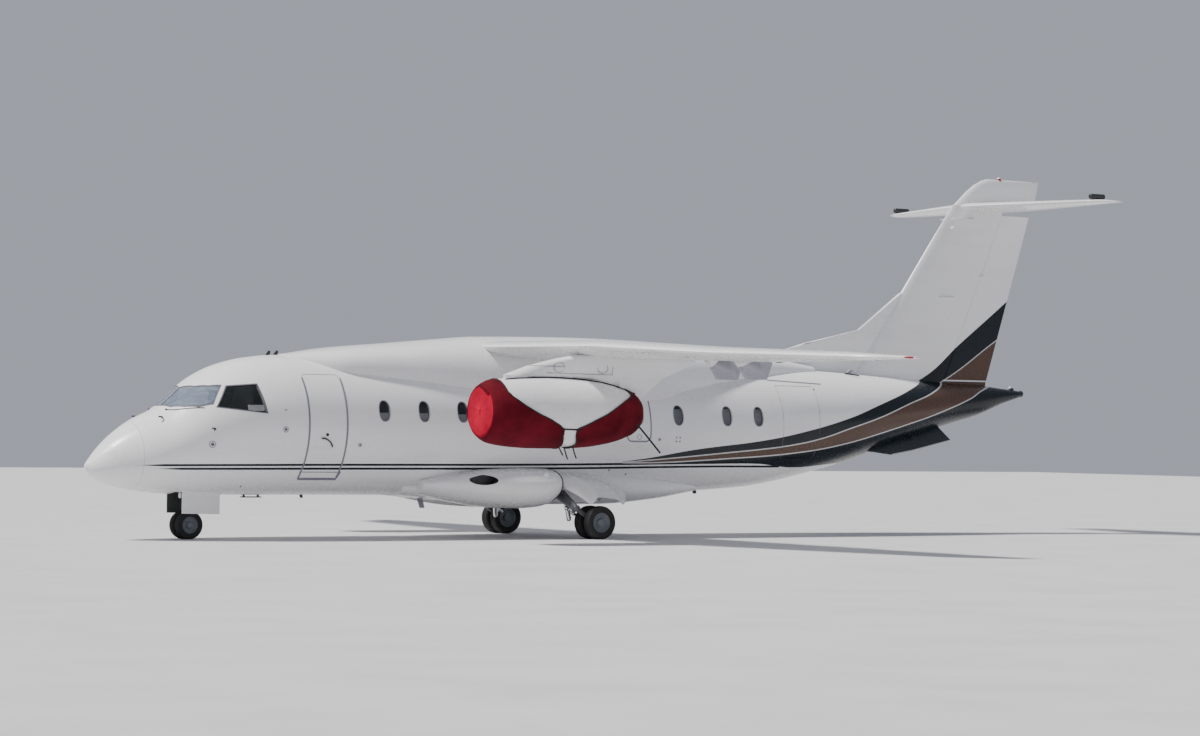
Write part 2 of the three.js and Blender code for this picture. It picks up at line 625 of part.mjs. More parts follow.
// Tailplane and elevators
const tail = tailLoft();
let tailFixed = tail;
const [innerHalf, outerHalf] = ELEVATOR_SPAN.map((span) => evenHalf(rowAt(TAIL, span), ELEVATOR_STATION));
for (const [side, sign] of SIDES) {
  const [inner, outer] = ELEVATOR_SPAN;
  const hingeX = NOSE_X + ELEVATOR_STATION;
  const cove = bar([hingeX, -inner + 8, TAIL_LEVEL], [hingeX, -outer - 8, TAIL_LEVEL],
    innerHalf + 9, outerHalf + 9, 12);
  tailFixed = tailFixed.subtract(mirrored(
    cove.add(bay(ELEVATOR_STATION - 9, 21300, -outer - 8, -inner + 8, 6400, 6800)), sign));
  const hingeEnds = [[hingeX, -inner, TAIL_LEVEL], [hingeX, -outer, TAIL_LEVEL]];
  const elevator = tail.intersect(bay(ELEVATOR_STATION, 21300, -outer, -inner, 6400, 6800))
    .add(bar(...hingeEnds, innerHalf, outerHalf, 12)).add(hingePin(...hingeEnds, PIN.past, PIN.radius));
  addPiece(`elevator_${side}`, white, mirrored(elevator, sign));
  const weight = bar([NOSE_X + 19990, -3060, TAIL_LEVEL + 82], [NOSE_X + 20230, -3060, TAIL_LEVEL + 82], 42);
  const foot = bay(20040, 20180, -3075, -3045, TAIL_LEVEL, TAIL_LEVEL + 70).add(weight);
  tailFixed = tailFixed.add(mirrored(foot, sign));
}
addPiece('tailplane', white, tailFixed);

// Ventral fins
const VENTRAL = [[16400, 60], [17080, -140], [17640, -130], [18700, -50], [18500, 300], [17500, 420]];
const CANT = 32;
for (const [side, sign] of SIDES) {
  const shape = plate(VENTRAL.map(([s, depth]) => [s, depth + (s - 16640) * 0.155]), 0, 45);
  const placed = mirrored(shape.rotate([-CANT, 0, 0]).translate([0, -520, 1640]), sign);
  addPiece(`ventral_fin_${side}`, dark, largest(placed.subtract(bodyCut)));
}

// Belly fairing, sponsons, gear doors
startGroup();
const BELLY = [
  // station, bottom, half width, top
  [5900, 765, 620, 1000],
  [6700, 690, 840, 1150],
  [7600, 620, 900, 1230],
  [8600, 595, 900, 1260],
  [10200, 595, 900, 1260],
  [11300, 680, 860, 1150],
  [12300, 830, 640, 1000],
];
const bellyLoft = loft(BELLY.map(([station, bottom, half, top]) => {
  const x = NOSE_X + station;
  const rise = top - bottom;
  return [
    [x, -half, top], [x, -half, bottom + rise * 0.35], [x, -half * 0.86, bottom + rise * 0.12],
    [x, -half * 0.6, bottom], [x, half * 0.6, bottom], [x, half * 0.86, bottom + rise * 0.12],
    [x, half, bottom + rise * 0.35], [x, half, top],
  ];
}));
const WELL = { front: 8830, aft: 10060, top: 1010 };
const SPONSON = [
  // station, outer y, bottom, top
  [6150, 950, 800, 1060],
  [6900, 1260, 650, 1240],
  [7600, 1450, 560, 1290],
  [8200, 1510, 535, 1300],
  [8620, 1490, 560, 1295],
  [8800, 1420, 640, 1280],
];
const SPONSON_ROOT = 560;
const INLET = { station: 7180, level: 1065, halfLength: 260, halfHeight: 90, floor: 1230 };
const sponsonLoft = loft(SPONSON.map(([station, outer, bottom, top]) => {
  const ring = [];
  const level = (bottom + top) / 2 + 60;
  for (let i = 0; i <= 12; i++) {
    const angle = -Math.PI / 2 + (Math.PI * i) / 12;
    const height = angle < 0 ? level - bottom : top - level;
    const y = -SPONSON_ROOT - (outer - SPONSON_ROOT) * Math.cos(angle) ** 0.8;
    ring.push([NOSE_X + station, y, level + height * Math.sin(angle)]);
  }
  return ring;
}));
const inletHole = toSolid(new THREE.CylinderGeometry(1, 1, 500, 28))
  .scale([INLET.halfLength, 1, INLET.halfHeight])
  .translate([NOSE_X + INLET.station, -INLET.floor - 250, INLET.level]);
let belly = bellyLoft;
for (const [, sign] of SIDES) {
  belly = belly.subtract(mirrored(bay(WELL.front, WELL.aft, -1100, -700, 400, WELL.top), sign))
    .add(mirrored(sponsonLoft.subtract(inletHole), sign));
}
addPiece('belly_fairing', shade, largest(belly.subtract(bodyCut)));
const bellyCut = (sign) => belly.add(belly.translate([0, sign * SEAT_GAP, -SEAT_GAP]));

// Gear doors: bent leaves over the outer main wheels, flat leaves beside the nose leg
const MAIN_DOOR = [
  // station, inner level, shoulder y, shoulder level, lip y, lip level
  [8840, 1150, 1180, 1080, 1440, 900],
  [9020, 1175, 1330, 1050, 1640, 760],
  [9180, 1190, 1450, 1010, 1790, 612],
  [9290, 1195, 1500, 1000, 1850, 752],
  [9500, 1190, 1520, 985, 1870, 742],
  [9730, 1170, 1500, 960, 1870, 706],
  [9850, 1150, 1480, 930, 1850, 620],
  [10060, 1090, 1380, 880, 1600, 760],
];
const mainDoor = loft(MAIN_DOOR.map(([station, inLevel, midY, midLevel, lipY, lipLevel]) => {
  const x = NOSE_X + station;
  const under = [[x, -840, inLevel], [x, -midY, midLevel], [x, -lipY, lipLevel]];
  return [...under, ...under.map(([, y, z]) => [x, y, z + 32]).reverse()];
}));
for (const [side, sign] of SIDES) {
  addPiece(`main_gear_door_${side}`, white,
    largest(mirrored(mainDoor, sign).subtract(bodyCut).subtract(bellyCut(sign))));
  const leaf = plate([[1700, 452], [2420, 440], [2420, 870], [1700, 880]], -300, 22);
  addPiece(`nose_gear_door_${side}`, white, mirrored(leaf, sign).subtract(bodyCut));
}

// Tyres and wheels, turned about Y
startGroup();
const WHEEL_STEPS = 24;
const TYRE_OUTLINE = [
  // share of the half width, share of the radius
  [0.62, 0.56], [1, 0.7], [0.96, 0.88], [0.7, 0.98], [0.25, 1],
];
function tyre({ radius, width }) {
  const half = TYRE_OUTLINE.map(([w, r]) => [(w * width) / 2, r * radius]);
  const other = half.map(([w, r]) => [-w, r]).reverse();
  const profile = [...half, ...other, half[0]].map(([w, r]) => new THREE.Vector2(r, w));
  return outward(toSolid(new THREE.LatheGeometry(profile, WHEEL_STEPS)));
}
function wheelSet({ radius, width, spread, axle }) {
  const rim = 0.56 * radius - SEAT_GAP;
  const half = width * 0.31;
  const disc = (y) => toSolid(new THREE.LatheGeometry([
    [0, -half], [rim, -half], [rim, half], [rim * 0.82, half], [rim * 0.6, half - width * 0.16],
    [rim * 0.3, half - width * 0.16], [rim * 0.26, half + 4], [0, half + 4],
  ].map(([r, w]) => new THREE.Vector2(r, w)), WHEEL_STEPS)).scale([1, Math.sign(y), 1]);
  return outward(disc(-1)).translate([0, -spread, 0]).add(outward(disc(1)).translate([0, spread, 0]))
    .add(bar([0, -spread, 0], [0, spread, 0], axle, axle, WHEEL_STEPS));
}

const noseAxle = [NOSE_X + NOSE_GEAR_STATION, 0, NOSE_TYRE.radius];
addPiece('nose_wheels', steel, wheelSet(NOSE_TYRE), noseAxle);
for (const [side, sign] of SIDES) {
  addPiece(`nose_tyre_${side}`, rubber, tyre(NOSE_TYRE), noseAxle.with(1, sign * NOSE_TYRE.spread));
}
// Nose leg: fixed tube in the well, steered tube with its axle eye
const NOSE_SPLIT = 640;
addPiece('nose_leg', white, bar([noseAxle[0], 0, NOSE_SPLIT], [noseAxle[0], 0, 1085 - SEAT_GAP], 62)
  .add(bar([noseAxle[0], 0, 820], [noseAxle[0] + 430, 0, 1060], 24))
  .add(bay(2340, 2400, -80, 80, 1030, 1085 - SEAT_GAP)));
addPiece('nose_fork', steel, bar([noseAxle[0], 0, NOSE_SPLIT - SEAT_GAP], [noseAxle[0], 0, 540], 55)
  .add(box(noseAxle[0] - 45, noseAxle[0] + 45, -23, 23, 240, 560))
  .add(bar([noseAxle[0], -24, noseAxle[2]], [noseAxle[0], 24, noseAxle[2]], 50))
  .subtract(bar([noseAxle[0], -80, noseAxle[2]], [noseAxle[0], 80, noseAxle[2]],
    NOSE_TYRE.axle + AXLE_GAP, NOSE_TYRE.axle + AXLE_GAP, WHEEL_STEPS)));

for (const [side, sign] of SIDES) {
  const y = -MAIN_TRACK / 2;
  const axle = [NOSE_X + MAIN_GEAR_STATION, y, MAIN_TYRE.radius];
  addPiece(`main_wheels_${side}`, steel, wheelSet(MAIN_TYRE), axle.with(1, -sign * y));
  for (const [label, way] of [['outer', -1], ['inner', 1]]) {
    addPiece(`main_tyre_${label}_${side}`, rubber, tyre(MAIN_TYRE),
      axle.with(1, -sign * (y + way * MAIN_TYRE.spread)));
  }
  const pivot = [NOSE_X + 8960, y, 560];
  const leg = bar([NOSE_X + 8960, -600, 960], [NOSE_X + 8960, y, 560], 72)
    .add(bar([pivot[0], y - 60, pivot[2]], [pivot[0], y + 60, pivot[2]], 62))
    .add(bar(pivot, axle, 40, 38))
    .add(bar([axle[0], y - 42, axle[2]], [axle[0], y + 42, axle[2]], 62))
    .add(bar([NOSE_X + 8960, -1180, 850], [NOSE_X + 8960, y, 600], 40))
    .subtract(bar([axle[0], y - 120, axle[2]], [axle[0], y + 120, axle[2]],
      MAIN_TYRE.axle + AXLE_GAP, MAIN_TYRE.axle + AXLE_GAP, WHEEL_STEPS));
  addPiece(`main_leg_${side}`, white,
    largest(mirrored(leg, sign).subtract(bellyCut(sign)).subtract(bodyCut)));
}

export default root;
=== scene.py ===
# Twin-jet airliner, parked: skins, livery, covers and gear over the fixed frame
import math
import bpy
from mathutils import Matrix, Vector, noise


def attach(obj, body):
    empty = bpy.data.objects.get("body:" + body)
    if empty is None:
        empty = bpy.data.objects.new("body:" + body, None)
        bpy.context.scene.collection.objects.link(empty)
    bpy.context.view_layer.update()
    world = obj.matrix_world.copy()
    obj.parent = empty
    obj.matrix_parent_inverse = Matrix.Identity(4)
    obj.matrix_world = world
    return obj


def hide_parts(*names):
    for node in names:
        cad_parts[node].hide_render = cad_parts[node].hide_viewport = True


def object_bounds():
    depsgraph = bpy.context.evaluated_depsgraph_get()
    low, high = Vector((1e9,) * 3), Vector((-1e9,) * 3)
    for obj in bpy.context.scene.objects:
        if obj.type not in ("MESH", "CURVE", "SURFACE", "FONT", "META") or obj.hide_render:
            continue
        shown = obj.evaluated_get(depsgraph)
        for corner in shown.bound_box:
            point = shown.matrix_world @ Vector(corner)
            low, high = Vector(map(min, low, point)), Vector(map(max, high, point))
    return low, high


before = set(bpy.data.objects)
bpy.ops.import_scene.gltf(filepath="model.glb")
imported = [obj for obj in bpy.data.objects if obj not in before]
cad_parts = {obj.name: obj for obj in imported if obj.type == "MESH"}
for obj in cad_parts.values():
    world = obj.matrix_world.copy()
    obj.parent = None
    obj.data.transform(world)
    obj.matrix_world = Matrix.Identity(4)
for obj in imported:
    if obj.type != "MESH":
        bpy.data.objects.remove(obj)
cadBounds = [list(corner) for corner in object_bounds()]
noseX = round(cadBounds[0][0], 3)  # stations are metres aft of the nose
sides = (("left", -1), ("right", 1))
print("frame loaded")


# Small tools
def only(obj):
    bpy.ops.object.select_all(action="DESELECT")
    obj.select_set(True)
    bpy.context.view_layer.objects.active = obj
    return obj


def applyModifier(obj, modifier):
    only(obj)
    bpy.ops.object.modifier_apply(modifier=modifier.name)


def editAll(obj):
    only(obj)
    bpy.ops.object.mode_set(mode="EDIT")
    bpy.ops.mesh.select_all(action="SELECT")


def leaveEdit():
    bpy.ops.object.mode_set(mode="OBJECT")


def weld(obj, distance=1e-5):
    editAll(obj)
    bpy.ops.mesh.remove_doubles(threshold=distance)
    bpy.ops.mesh.normals_make_consistent(inside=False)
    leaveEdit()
    return obj


def smooth(obj, angle=32):
    only(obj)
    bpy.ops.object.shade_smooth_by_angle(angle=math.radians(angle))
    return obj


def bevelEdges(obj, width):
    bevel = obj.modifiers.new("bevel", "BEVEL")
    bevel.width = width
    bevel.segments = 2
    bevel.limit_method = "ANGLE"
    bevel.angle_limit = math.radians(40)
    applyModifier(obj, bevel)
    return obj


def joined(parts):
    bpy.ops.object.select_all(action="DESELECT")
    for part in parts:
        part.select_set(True)
    bpy.context.view_layer.objects.active = parts[0]
    bpy.ops.object.join()
    return parts[0]


def cut(obj, cutter, operation="DIFFERENCE", keep=False):
    boolean = obj.modifiers.new("cut", "BOOLEAN")
    boolean.operation = operation
    boolean.solver = "EXACT"
    boolean.object = cutter
    applyModifier(obj, boolean)
    if not keep:
        bpy.data.objects.remove(cutter)
    return obj


def piece(obj, name, paint, body="airframe", standsFor=()):
    only(obj)
    bpy.ops.object.transform_apply(location=True, rotation=True, scale=True)
    obj.name = name
    obj.data.name = name
    if paint:
        obj.data.materials.clear()
        obj.data.materials.append(paint)
    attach(obj, body)
    if standsFor:
        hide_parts(*standsFor)
    return obj


def block(low, high, bevel=0.0):
    middle = [(a + b) / 2 for a, b in zip(low, high)]
    size = [b - a for a, b in zip(low, high)]
    bpy.ops.mesh.primitive_cube_add(size=1, location=middle, scale=size)
    obj = only(bpy.context.object)
    bpy.ops.object.transform_apply(location=True, rotation=True, scale=True)
    if bevel:
        bevelEdges(obj, bevel)
    return obj


def rod(start, end, radius, endRadius=None, sidesCount=24):
    start, end = Vector(start), Vector(end)
    along = end - start
    bpy.ops.mesh.primitive_cone_add(
        vertices=sidesCount, radius1=radius, radius2=radius if endRadius is None else endRadius,
        depth=along.length, location=(start + end) / 2,
        rotation=along.to_track_quat("Z", "Y").to_euler())
    obj = only(bpy.context.object)
    bpy.ops.object.transform_apply(location=True, rotation=True, scale=True)
    return obj


def ball(centre, radii, segments=32, rings=16):
    bpy.ops.mesh.primitive_uv_sphere_add(segments=segments, ring_count=rings, radius=1,
                                         location=centre, scale=radii)
    obj = only(bpy.context.object)
    bpy.ops.object.transform_apply(location=True, rotation=True, scale=True)
    return obj


def wire(points, radius):
    curve = bpy.data.curves.new("wire", "CURVE")
    curve.dimensions = "3D"
    spline = curve.splines.new("NURBS")
    spline.points.add(len(points) - 1)
    for target, point in zip(spline.points, points):
        target.co = (*point, 1)
    spline.order_u = 4
    spline.use_endpoint_u = True
    spline.resolution_u = 6
    curve.bevel_depth = radius
    curve.bevel_resolution = 4
    curve.use_fill_caps = True
    obj = bpy.data.objects.new("wire", curve)
    bpy.context.scene.collection.objects.link(obj)
    only(obj)
    bpy.ops.object.convert(target="MESH")
    return weld(bpy.context.object)


# A grid whose points are placed by pointAt(u, v), a tube where it is closed
def gridLoft(along, around, pointAt, closed=True):
    bpy.ops.mesh.primitive_grid_add(x_subdivisions=along, y_subdivisions=around, size=2)
    obj = bpy.context.object
    for vertex in obj.data.vertices:
        u = round((vertex.co.x + 1) / 2 * along)
        v = round((vertex.co.y + 1) / 2 * around)
        vertex.co = pointAt(u, 0 if closed and v == around else v)
    return weld(obj)


# A flat outline in x and z, drawn out along y
def prism(outline, y0, y1):
    bpy.ops.mesh.primitive_circle_add(vertices=len(outline), fill_type="NGON", radius=1)
    obj = bpy.context.object
    for vertex, (x, z) in zip(obj.data.vertices, outline):
        vertex.co = (x, y0, z)
    editAll(obj)
    bpy.ops.mesh.extrude_region_move(TRANSFORM_OT_translate={"value": (0, y1 - y0, 0)})
    bpy.ops.mesh.select_all(action="SELECT")
    bpy.ops.mesh.normals_make_consistent(inside=False)
    leaveEdit()
    return obj


# A rectangle with rounded corners, whose lower ones can have their own radius
def roundedOutline(x0, x1, z0, z1, radius, steps=6, foot=None):
    foot = radius if foot is None else foot
    points = []
    for cx, cz, r, start in ((x1 - radius, z1 - radius, radius, 0), (x0 + radius, z1 - radius, radius, 90),
                             (x0 + foot, z0 + foot, foot, 180), (x1 - foot, z0 + foot, foot, 270)):
        for i in range(steps + 1):
            angle = math.radians(start + 90 * i / steps)
            points.append((cx + r * math.cos(angle), cz + r * math.sin(angle)))
    return points


def ovalOutline(cx, cz, width, height, steps=32, power=0.85):
    points = []
    for i in range(steps):
        angle = 2 * math.pi * i / steps
        c, s = math.cos(angle), math.sin(angle)
        points.append((cx + width / 2 * math.copysign(abs(c) ** power, c),
                       cz + height / 2 * math.copysign(abs(s) ** power, s)))
    return points


# A profile of (place along the axis, radius) turned about the axis
def spun(profile, centre, axis, steps=96):
    mesh = bpy.data.meshes.new("profile")
    obj = bpy.data.objects.new("profile", mesh)
    bpy.context.scene.collection.objects.link(obj)
    points = []
    for along, radius in profile:
        if axis == "X":
            points.append((along, centre[1], centre[2] + radius))
        else:
            points.append((centre[0], along, centre[2] + radius))
    edges = [(i, i + 1) for i in range(len(points) - 1)]
    mesh.from_pydata(points, edges, [])
    editAll(obj)
    bpy.ops.mesh.spin(steps=steps, angle=2 * math.pi, center=centre,
                      axis=(1, 0, 0) if axis == "X" else (0, 1, 0))
    leaveEdit()
    return weld(obj, 2e-5)


# A welded copy of a CAD node, with even shading
def dressed(nodeName, angle=30):
    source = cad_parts[nodeName]
    obj = bpy.data.objects.new(nodeName + "_skin", source.data.copy())
    bpy.context.scene.collection.objects.link(obj)
    weld(obj, 1e-6)
    smooth(obj, angle)
    weighted = obj.modifiers.new("weighted", "WEIGHTED_NORMAL")
    weighted.keep_sharp = True
    weighted.weight = 100
    applyModifier(obj, weighted)
    return obj


# Smooth values between a table's rows, which start with a station and never overshoot
def smoothTable(rows):
    xs = [row[0] for row in rows]
    columns = list(zip(*rows))[1:]
    slopes = []
    for values in columns:
        steps = [(values[i + 1] - values[i]) / (xs[i + 1] - xs[i]) for i in range(len(xs) - 1)]
        tangent = [steps[0]]
        for i in range(1, len(steps)):
            a, b = steps[i - 1], steps[i]
            tangent.append(0 if a * b <= 0 else 2 * a * b / (a + b))
        slopes.append(tangent + [steps[-1]])

    def at(x):
        i = 0
        while i < len(xs) - 2 and xs[i + 1] < x:
            i += 1
        h = xs[i + 1] - xs[i]
        t = min(max((x - xs[i]) / h, 0), 1)
        result = []
        for values, tangent in zip(columns, slopes):  # a cubic from row to row
            result.append((2 * t ** 3 - 3 * t ** 2 + 1) * values[i]
                          + (t ** 3 - 2 * t ** 2 + t) * h * tangent[i]
                          + (3 * t ** 2 - 2 * t ** 3) * values[i + 1]
                          + (t ** 3 - t ** 2) * h * tangent[i + 1])
        return result
    return at


def spaced(start, end, step):
    count = max(1, round((end - start) / step))
    return [start + (end - start) * i / count for i in range(count + 1)]


# Camera at the photo's place, and the settings of floor and light
view = {"place": (-34.95, -52.52, 2.04), "yaw": 33.55, "pitch": 1.01, "roll": 0.75,
        "lens": 100.56, "sensor": 36, "farClip": 400}
light = {"floorSize": 160, "sunPower": 5.2, "sunFrom": (-0.55, 0.22, 0.95), "sunAngle": 6,
         "sunColor": (1.0, 0.97, 0.93), "skyPower": 0.48, "skyColor": (0.78, 0.83, 0.95)}
yaw, pitch, roll = (math.radians(view[key]) for key in ("yaw", "pitch", "roll"))
forward = Vector((math.sin(yaw) * math.cos(pitch), math.cos(yaw) * math.cos(pitch), math.sin(pitch)))
right = Vector((math.cos(yaw), -math.sin(yaw), 0))
upward = right.cross(forward)
tiltedRight = right * math.cos(roll) + upward * math.sin(roll)
tiltedUp = upward * math.cos(roll) - right * math.sin(roll)
cameraData = bpy.data.cameras.new("viewCamera")
cameraData.lens = view["lens"]
cameraData.sensor_width = view["sensor"]
cameraData.clip_end = view["farClip"]
camera = bpy.data.objects.new("viewCamera", cameraData)
bpy.context.scene.collection.objects.link(camera)
camera.matrix_world = Matrix.Translation(view["place"]) @ Matrix(
    (tiltedRight, tiltedUp, -forward)).transposed().to_4x4()
bpy.context.scene.camera = camera


# Materials
def newMaterial(name, color, roughness, metallic=0.0, coat=0.0):
    material = bpy.data.materials.new(name)
    material.use_nodes = True
    shader = material.node_tree.nodes["Principled BSDF"]
    shader.inputs["Base Color"].default_value = (*color, 1)
    shader.inputs["Roughness"].default_value = roughness
    shader.inputs["Metallic"].default_value = metallic
    shader.inputs["Coat Weight"].default_value = coat
    material.diffuse_color = (*color, 1)
    return material


class Nodes:
    def __init__(self, material):
        self.tree = material.node_tree
        self.shader = self.tree.nodes["Principled BSDF"]
        self.place = self.tree.nodes.new("ShaderNodeTexCoord").outputs["Object"]

    def add(self, kind, inputs=None, **settings):
        node = self.tree.nodes.new(kind)
        for key, value in settings.items():
            setattr(node, key, value)
        for key, value in (inputs or {}).items():
            if hasattr(value, "is_output"):
                self.tree.links.new(value, node.inputs[key])
            else:
                node.inputs[key].default_value = value
        return node

    def math(self, operation, a, b=0.0):
        return self.add("ShaderNodeMath", {0: a, 1: b}, operation=operation).outputs[0]

    def noise(self, scale, detail=3.0, stretch=(1, 1, 1)):
        mapped = self.add("ShaderNodeMapping", {"Vector": self.place, "Scale": stretch})
        return self.add("ShaderNodeTexNoise", {"Vector": mapped.outputs[0], "Scale": scale,
                                               "Detail": detail}).outputs["Fac"]

    def spread(self, value, low, high, toLow=0.0, toHigh=1.0):
        return self.add("ShaderNodeMapRange", {"Value": value, "From Min": low, "From Max": high,
                                               "To Min": toLow, "To Max": toHigh}).outputs[0]

    def mix(self, factor, a, b):
        node = self.add("ShaderNodeMix", data_type="RGBA", blend_type="MIX")
        for socket, value in ((node.inputs[0], factor), (node.inputs[6], a), (node.inputs[7], b)):
            if hasattr(value, "is_output"):
                self.tree.links.new(value, socket)
            elif socket == node.inputs[0]:
                socket.default_value = value
            else:
                socket.default_value = (*value, 1)
        return node.outputs[2]

    def bump(self, height, strength, distance):
        node = self.add("ShaderNodeBump", {"Height": height, "Strength": strength, "Distance": distance})
        self.tree.links.new(node.outputs[0], self.shader.inputs["Normal"])

    def link(self, value, socket):
        self.tree.links.new(value, self.shader.inputs[socket])


grime = {"color": (0.50, 0.47, 0.43), "amount": 0.5, "streakScale": 1.6, "streakStretch": (0.25, 1, 1.6),
         "fineScale": 14.0, "seamStep": 0.62, "seamWidth": 0.003, "seamShade": 0.28}


# Grime in streaks over the paint, and faint seams at the frames
def panelDirt(nodes, base):
    split = nodes.add("ShaderNodeSeparateXYZ", {0: nodes.place})
    seam = nodes.math("PINGPONG", split.outputs[0], grime["seamStep"] / 2)
    seamLine = nodes.spread(seam, 0.0, grime["seamWidth"], 1.0, 0.0)
    streak = nodes.noise(grime["streakScale"], 5.0, grime["streakStretch"])
    fine = nodes.noise(grime["fineScale"], 6.0)
    dirt = nodes.math("MULTIPLY", nodes.spread(streak, 0.48, 0.78), nodes.spread(fine, 0.3, 0.75))
    shade = nodes.math("MULTIPLY", dirt, grime["amount"])
    shade = nodes.math("MAXIMUM", shade, nodes.math("MULTIPLY", seamLine, grime["seamShade"]))
    stain = nodes.mix(shade, (1, 1, 1), grime["color"])
    soiled = nodes.add("ShaderNodeMix", {0: 1.0}, data_type="RGBA", blend_type="MULTIPLY")
    nodes.tree.links.new(stain, soiled.inputs[7])
    if hasattr(base, "is_output"):
        nodes.tree.links.new(base, soiled.inputs[6])
    else:
        soiled.inputs[6].default_value = (*base, 1)
    nodes.link(soiled.outputs[2], "Base Color")
    rough = nodes.spread(fine, 0.2, 0.8, 0.16, 0.34)
    nodes.link(nodes.math("ADD", rough, nodes.math("MULTIPLY", dirt, 0.25)), "Roughness")
    waves = nodes.math("MULTIPLY", nodes.noise(2.2, 2.0), 0.25)
    nodes.bump(nodes.math("SUBTRACT", waves, seamLine), 0.25, 0.002)


# Stripes and swoosh: each line is a table of station and level
livery = {
    "white": (0.86, 0.86, 0.87), "navy": (0.003, 0.008, 0.013), "bronze": (0.085, 0.046, 0.032),
    "silver": (0.62, 0.62, 0.62), "length": 21.3, "height": 6.0,
    "upperStripe": [(0.0, 1.283), (3.6, 1.314), (9.0, 1.346), (12.55, 1.396), (14.2, 1.42), (21.3, 1.6)],
    "lowerStripe": [(0.0, 1.226), (3.6, 1.247), (9.04, 1.276), (12.59, 1.326), (14.2, 1.33), (21.3, 1.5)],
    "topEdge": [(10.30, 1.415), (10.65, 1.445), (11.95, 1.645), (13.45, 1.818), (14.30, 1.960),
                (15.65, 2.270), (16.50, 2.540), (17.50, 2.855), (18.10, 3.07), (19.19, 3.83), (20.39, 4.66),
                (21.3, 5.32)],
    "silverHigh": [(10.30, 1.400), (10.90, 1.435), (12.07, 1.532), (12.75, 1.593), (13.45, 1.654),
                   (14.18, 1.736), (14.93, 1.866), (15.70, 2.076), (16.51, 2.299), (17.39, 2.586),
                   (18.04, 2.775), (18.75, 3.07), (20.08, 3.84), (21.3, 4.54)],
    "silverLow": [(10.30, 1.385), (11.20, 1.395), (12.10, 1.437), (12.79, 1.479), (13.50, 1.521),
                  (14.24, 1.582), (15.02, 1.670), (15.79, 1.804), (16.59, 1.987), (17.43, 2.191),
                  (18.01, 2.337), (19.21, 2.70), (19.71, 2.90), (20.3, 3.02), (21.3, 3.04)],
    "darkFoot": [(10.30, 1.370), (12.11, 1.390), (13.57, 1.377), (13.98, 1.339), (14.42, 1.311),
                 (15.62, 1.379), (16.4, 1.42), (21.3, 1.42)],
    "stripeWidth": 0.040, "silverWidth": 0.022, "stripeStart": (0.62, 0.92), "stripeTaper": 0.5,
    "stripeEnd": 14.1, "swooshStart": 10.35, "darkBellyStart": 15.9, "softEdge": 0.004, "softEnd": 0.01,
}
whitePaint = newMaterial("whitePaint", livery["white"], 0.25, coat=0.35)
panelDirt(Nodes(whitePaint), livery["white"])


def lineHeight(nodes, x, points):
    length, height = livery["length"], livery["height"]
    along = nodes.spread(x, noseX, noseX + length)
    curve = nodes.add("ShaderNodeFloatCurve", {"Value": along})
    knots = [(s / length, z / height) for s, z in points]
    if knots[0][0] > 0:
        knots.insert(0, (0.0, knots[0][1]))
    if knots[-1][0] < 1:
        knots.append((1.0, knots[-1][1]))
    line = curve.mapping.curves[0]
    curve.mapping.extend = "HORIZONTAL"
    while len(line.points) < len(knots):
        line.points.new(0.5, 0.5)
    for target, knot in zip(line.points, knots):
        target.location = knot
        target.handle_type = "AUTO_CLAMPED"
    curve.mapping.update()
    return nodes.math("MULTIPLY", curve.outputs[0], height)


def liveryMaterial():
    material = newMaterial("liveryPaint", livery["white"], 0.25)
    nodes = Nodes(material)
    split = nodes.add("ShaderNodeSeparateXYZ", {0: nodes.place})
    x, z = split.outputs[0], split.outputs[2]
    nodes.shader.inputs["Specular IOR Level"].default_value = 0.3
    soft, softEnd = livery["softEdge"], livery["softEnd"]

    def above(height):
        return nodes.spread(nodes.math("SUBTRACT", z, height), -soft, soft)

    def near(height, width, start=None):
        gap = nodes.math("ABSOLUTE", nodes.math("SUBTRACT", z, height))
        if start:
            full = noseX + start + livery["stripeTaper"]
            gap = nodes.math("ADD", gap, nodes.spread(x, noseX + start, full, width / 2 + soft, 0.0))
        return nodes.spread(gap, width / 2 - soft, width / 2 + soft, 1.0, 0.0)

    def aft(station):
        return nodes.spread(x, noseX + station - softEnd, noseX + station + softEnd)

    def both(a, b):
        return nodes.math("MULTIPLY", a, b)

    def outside(a):
        return nodes.math("SUBTRACT", 1.0, a)

    heights = {key: lineHeight(nodes, x, livery[key]) for key in
               ("upperStripe", "lowerStripe", "topEdge", "silverHigh", "silverLow", "darkFoot")}
    upperStart, lowerStart = livery["stripeStart"]
    stripes = nodes.math("MAXIMUM", near(heights["upperStripe"], livery["stripeWidth"], upperStart),
                         near(heights["lowerStripe"], livery["stripeWidth"], lowerStart))
    color = nodes.mix(both(stripes, outside(aft(livery["stripeEnd"]))), livery["white"], livery["navy"])
    swoosh = aft(livery["swooshStart"])
    underTop = outside(above(heights["topEdge"]))
    dark = both(both(above(heights["darkFoot"]), underTop), swoosh)
    dark = nodes.math("MAXIMUM", dark, both(aft(livery["darkBellyStart"]), underTop))
    color = nodes.mix(dark, color, livery["navy"])
    bronze = both(above(heights["silverLow"]), outside(above(heights["silverHigh"])))
    color = nodes.mix(both(bronze, swoosh), color, livery["bronze"])
    silver = nodes.math("MAXIMUM", near(heights["silverHigh"], livery["silverWidth"]),
                        near(heights["silverLow"], livery["silverWidth"]))
    color = nodes.mix(both(silver, swoosh), color, livery["silver"])
    panelDirt(nodes, color)
    return material


liveryPaint = liveryMaterial()


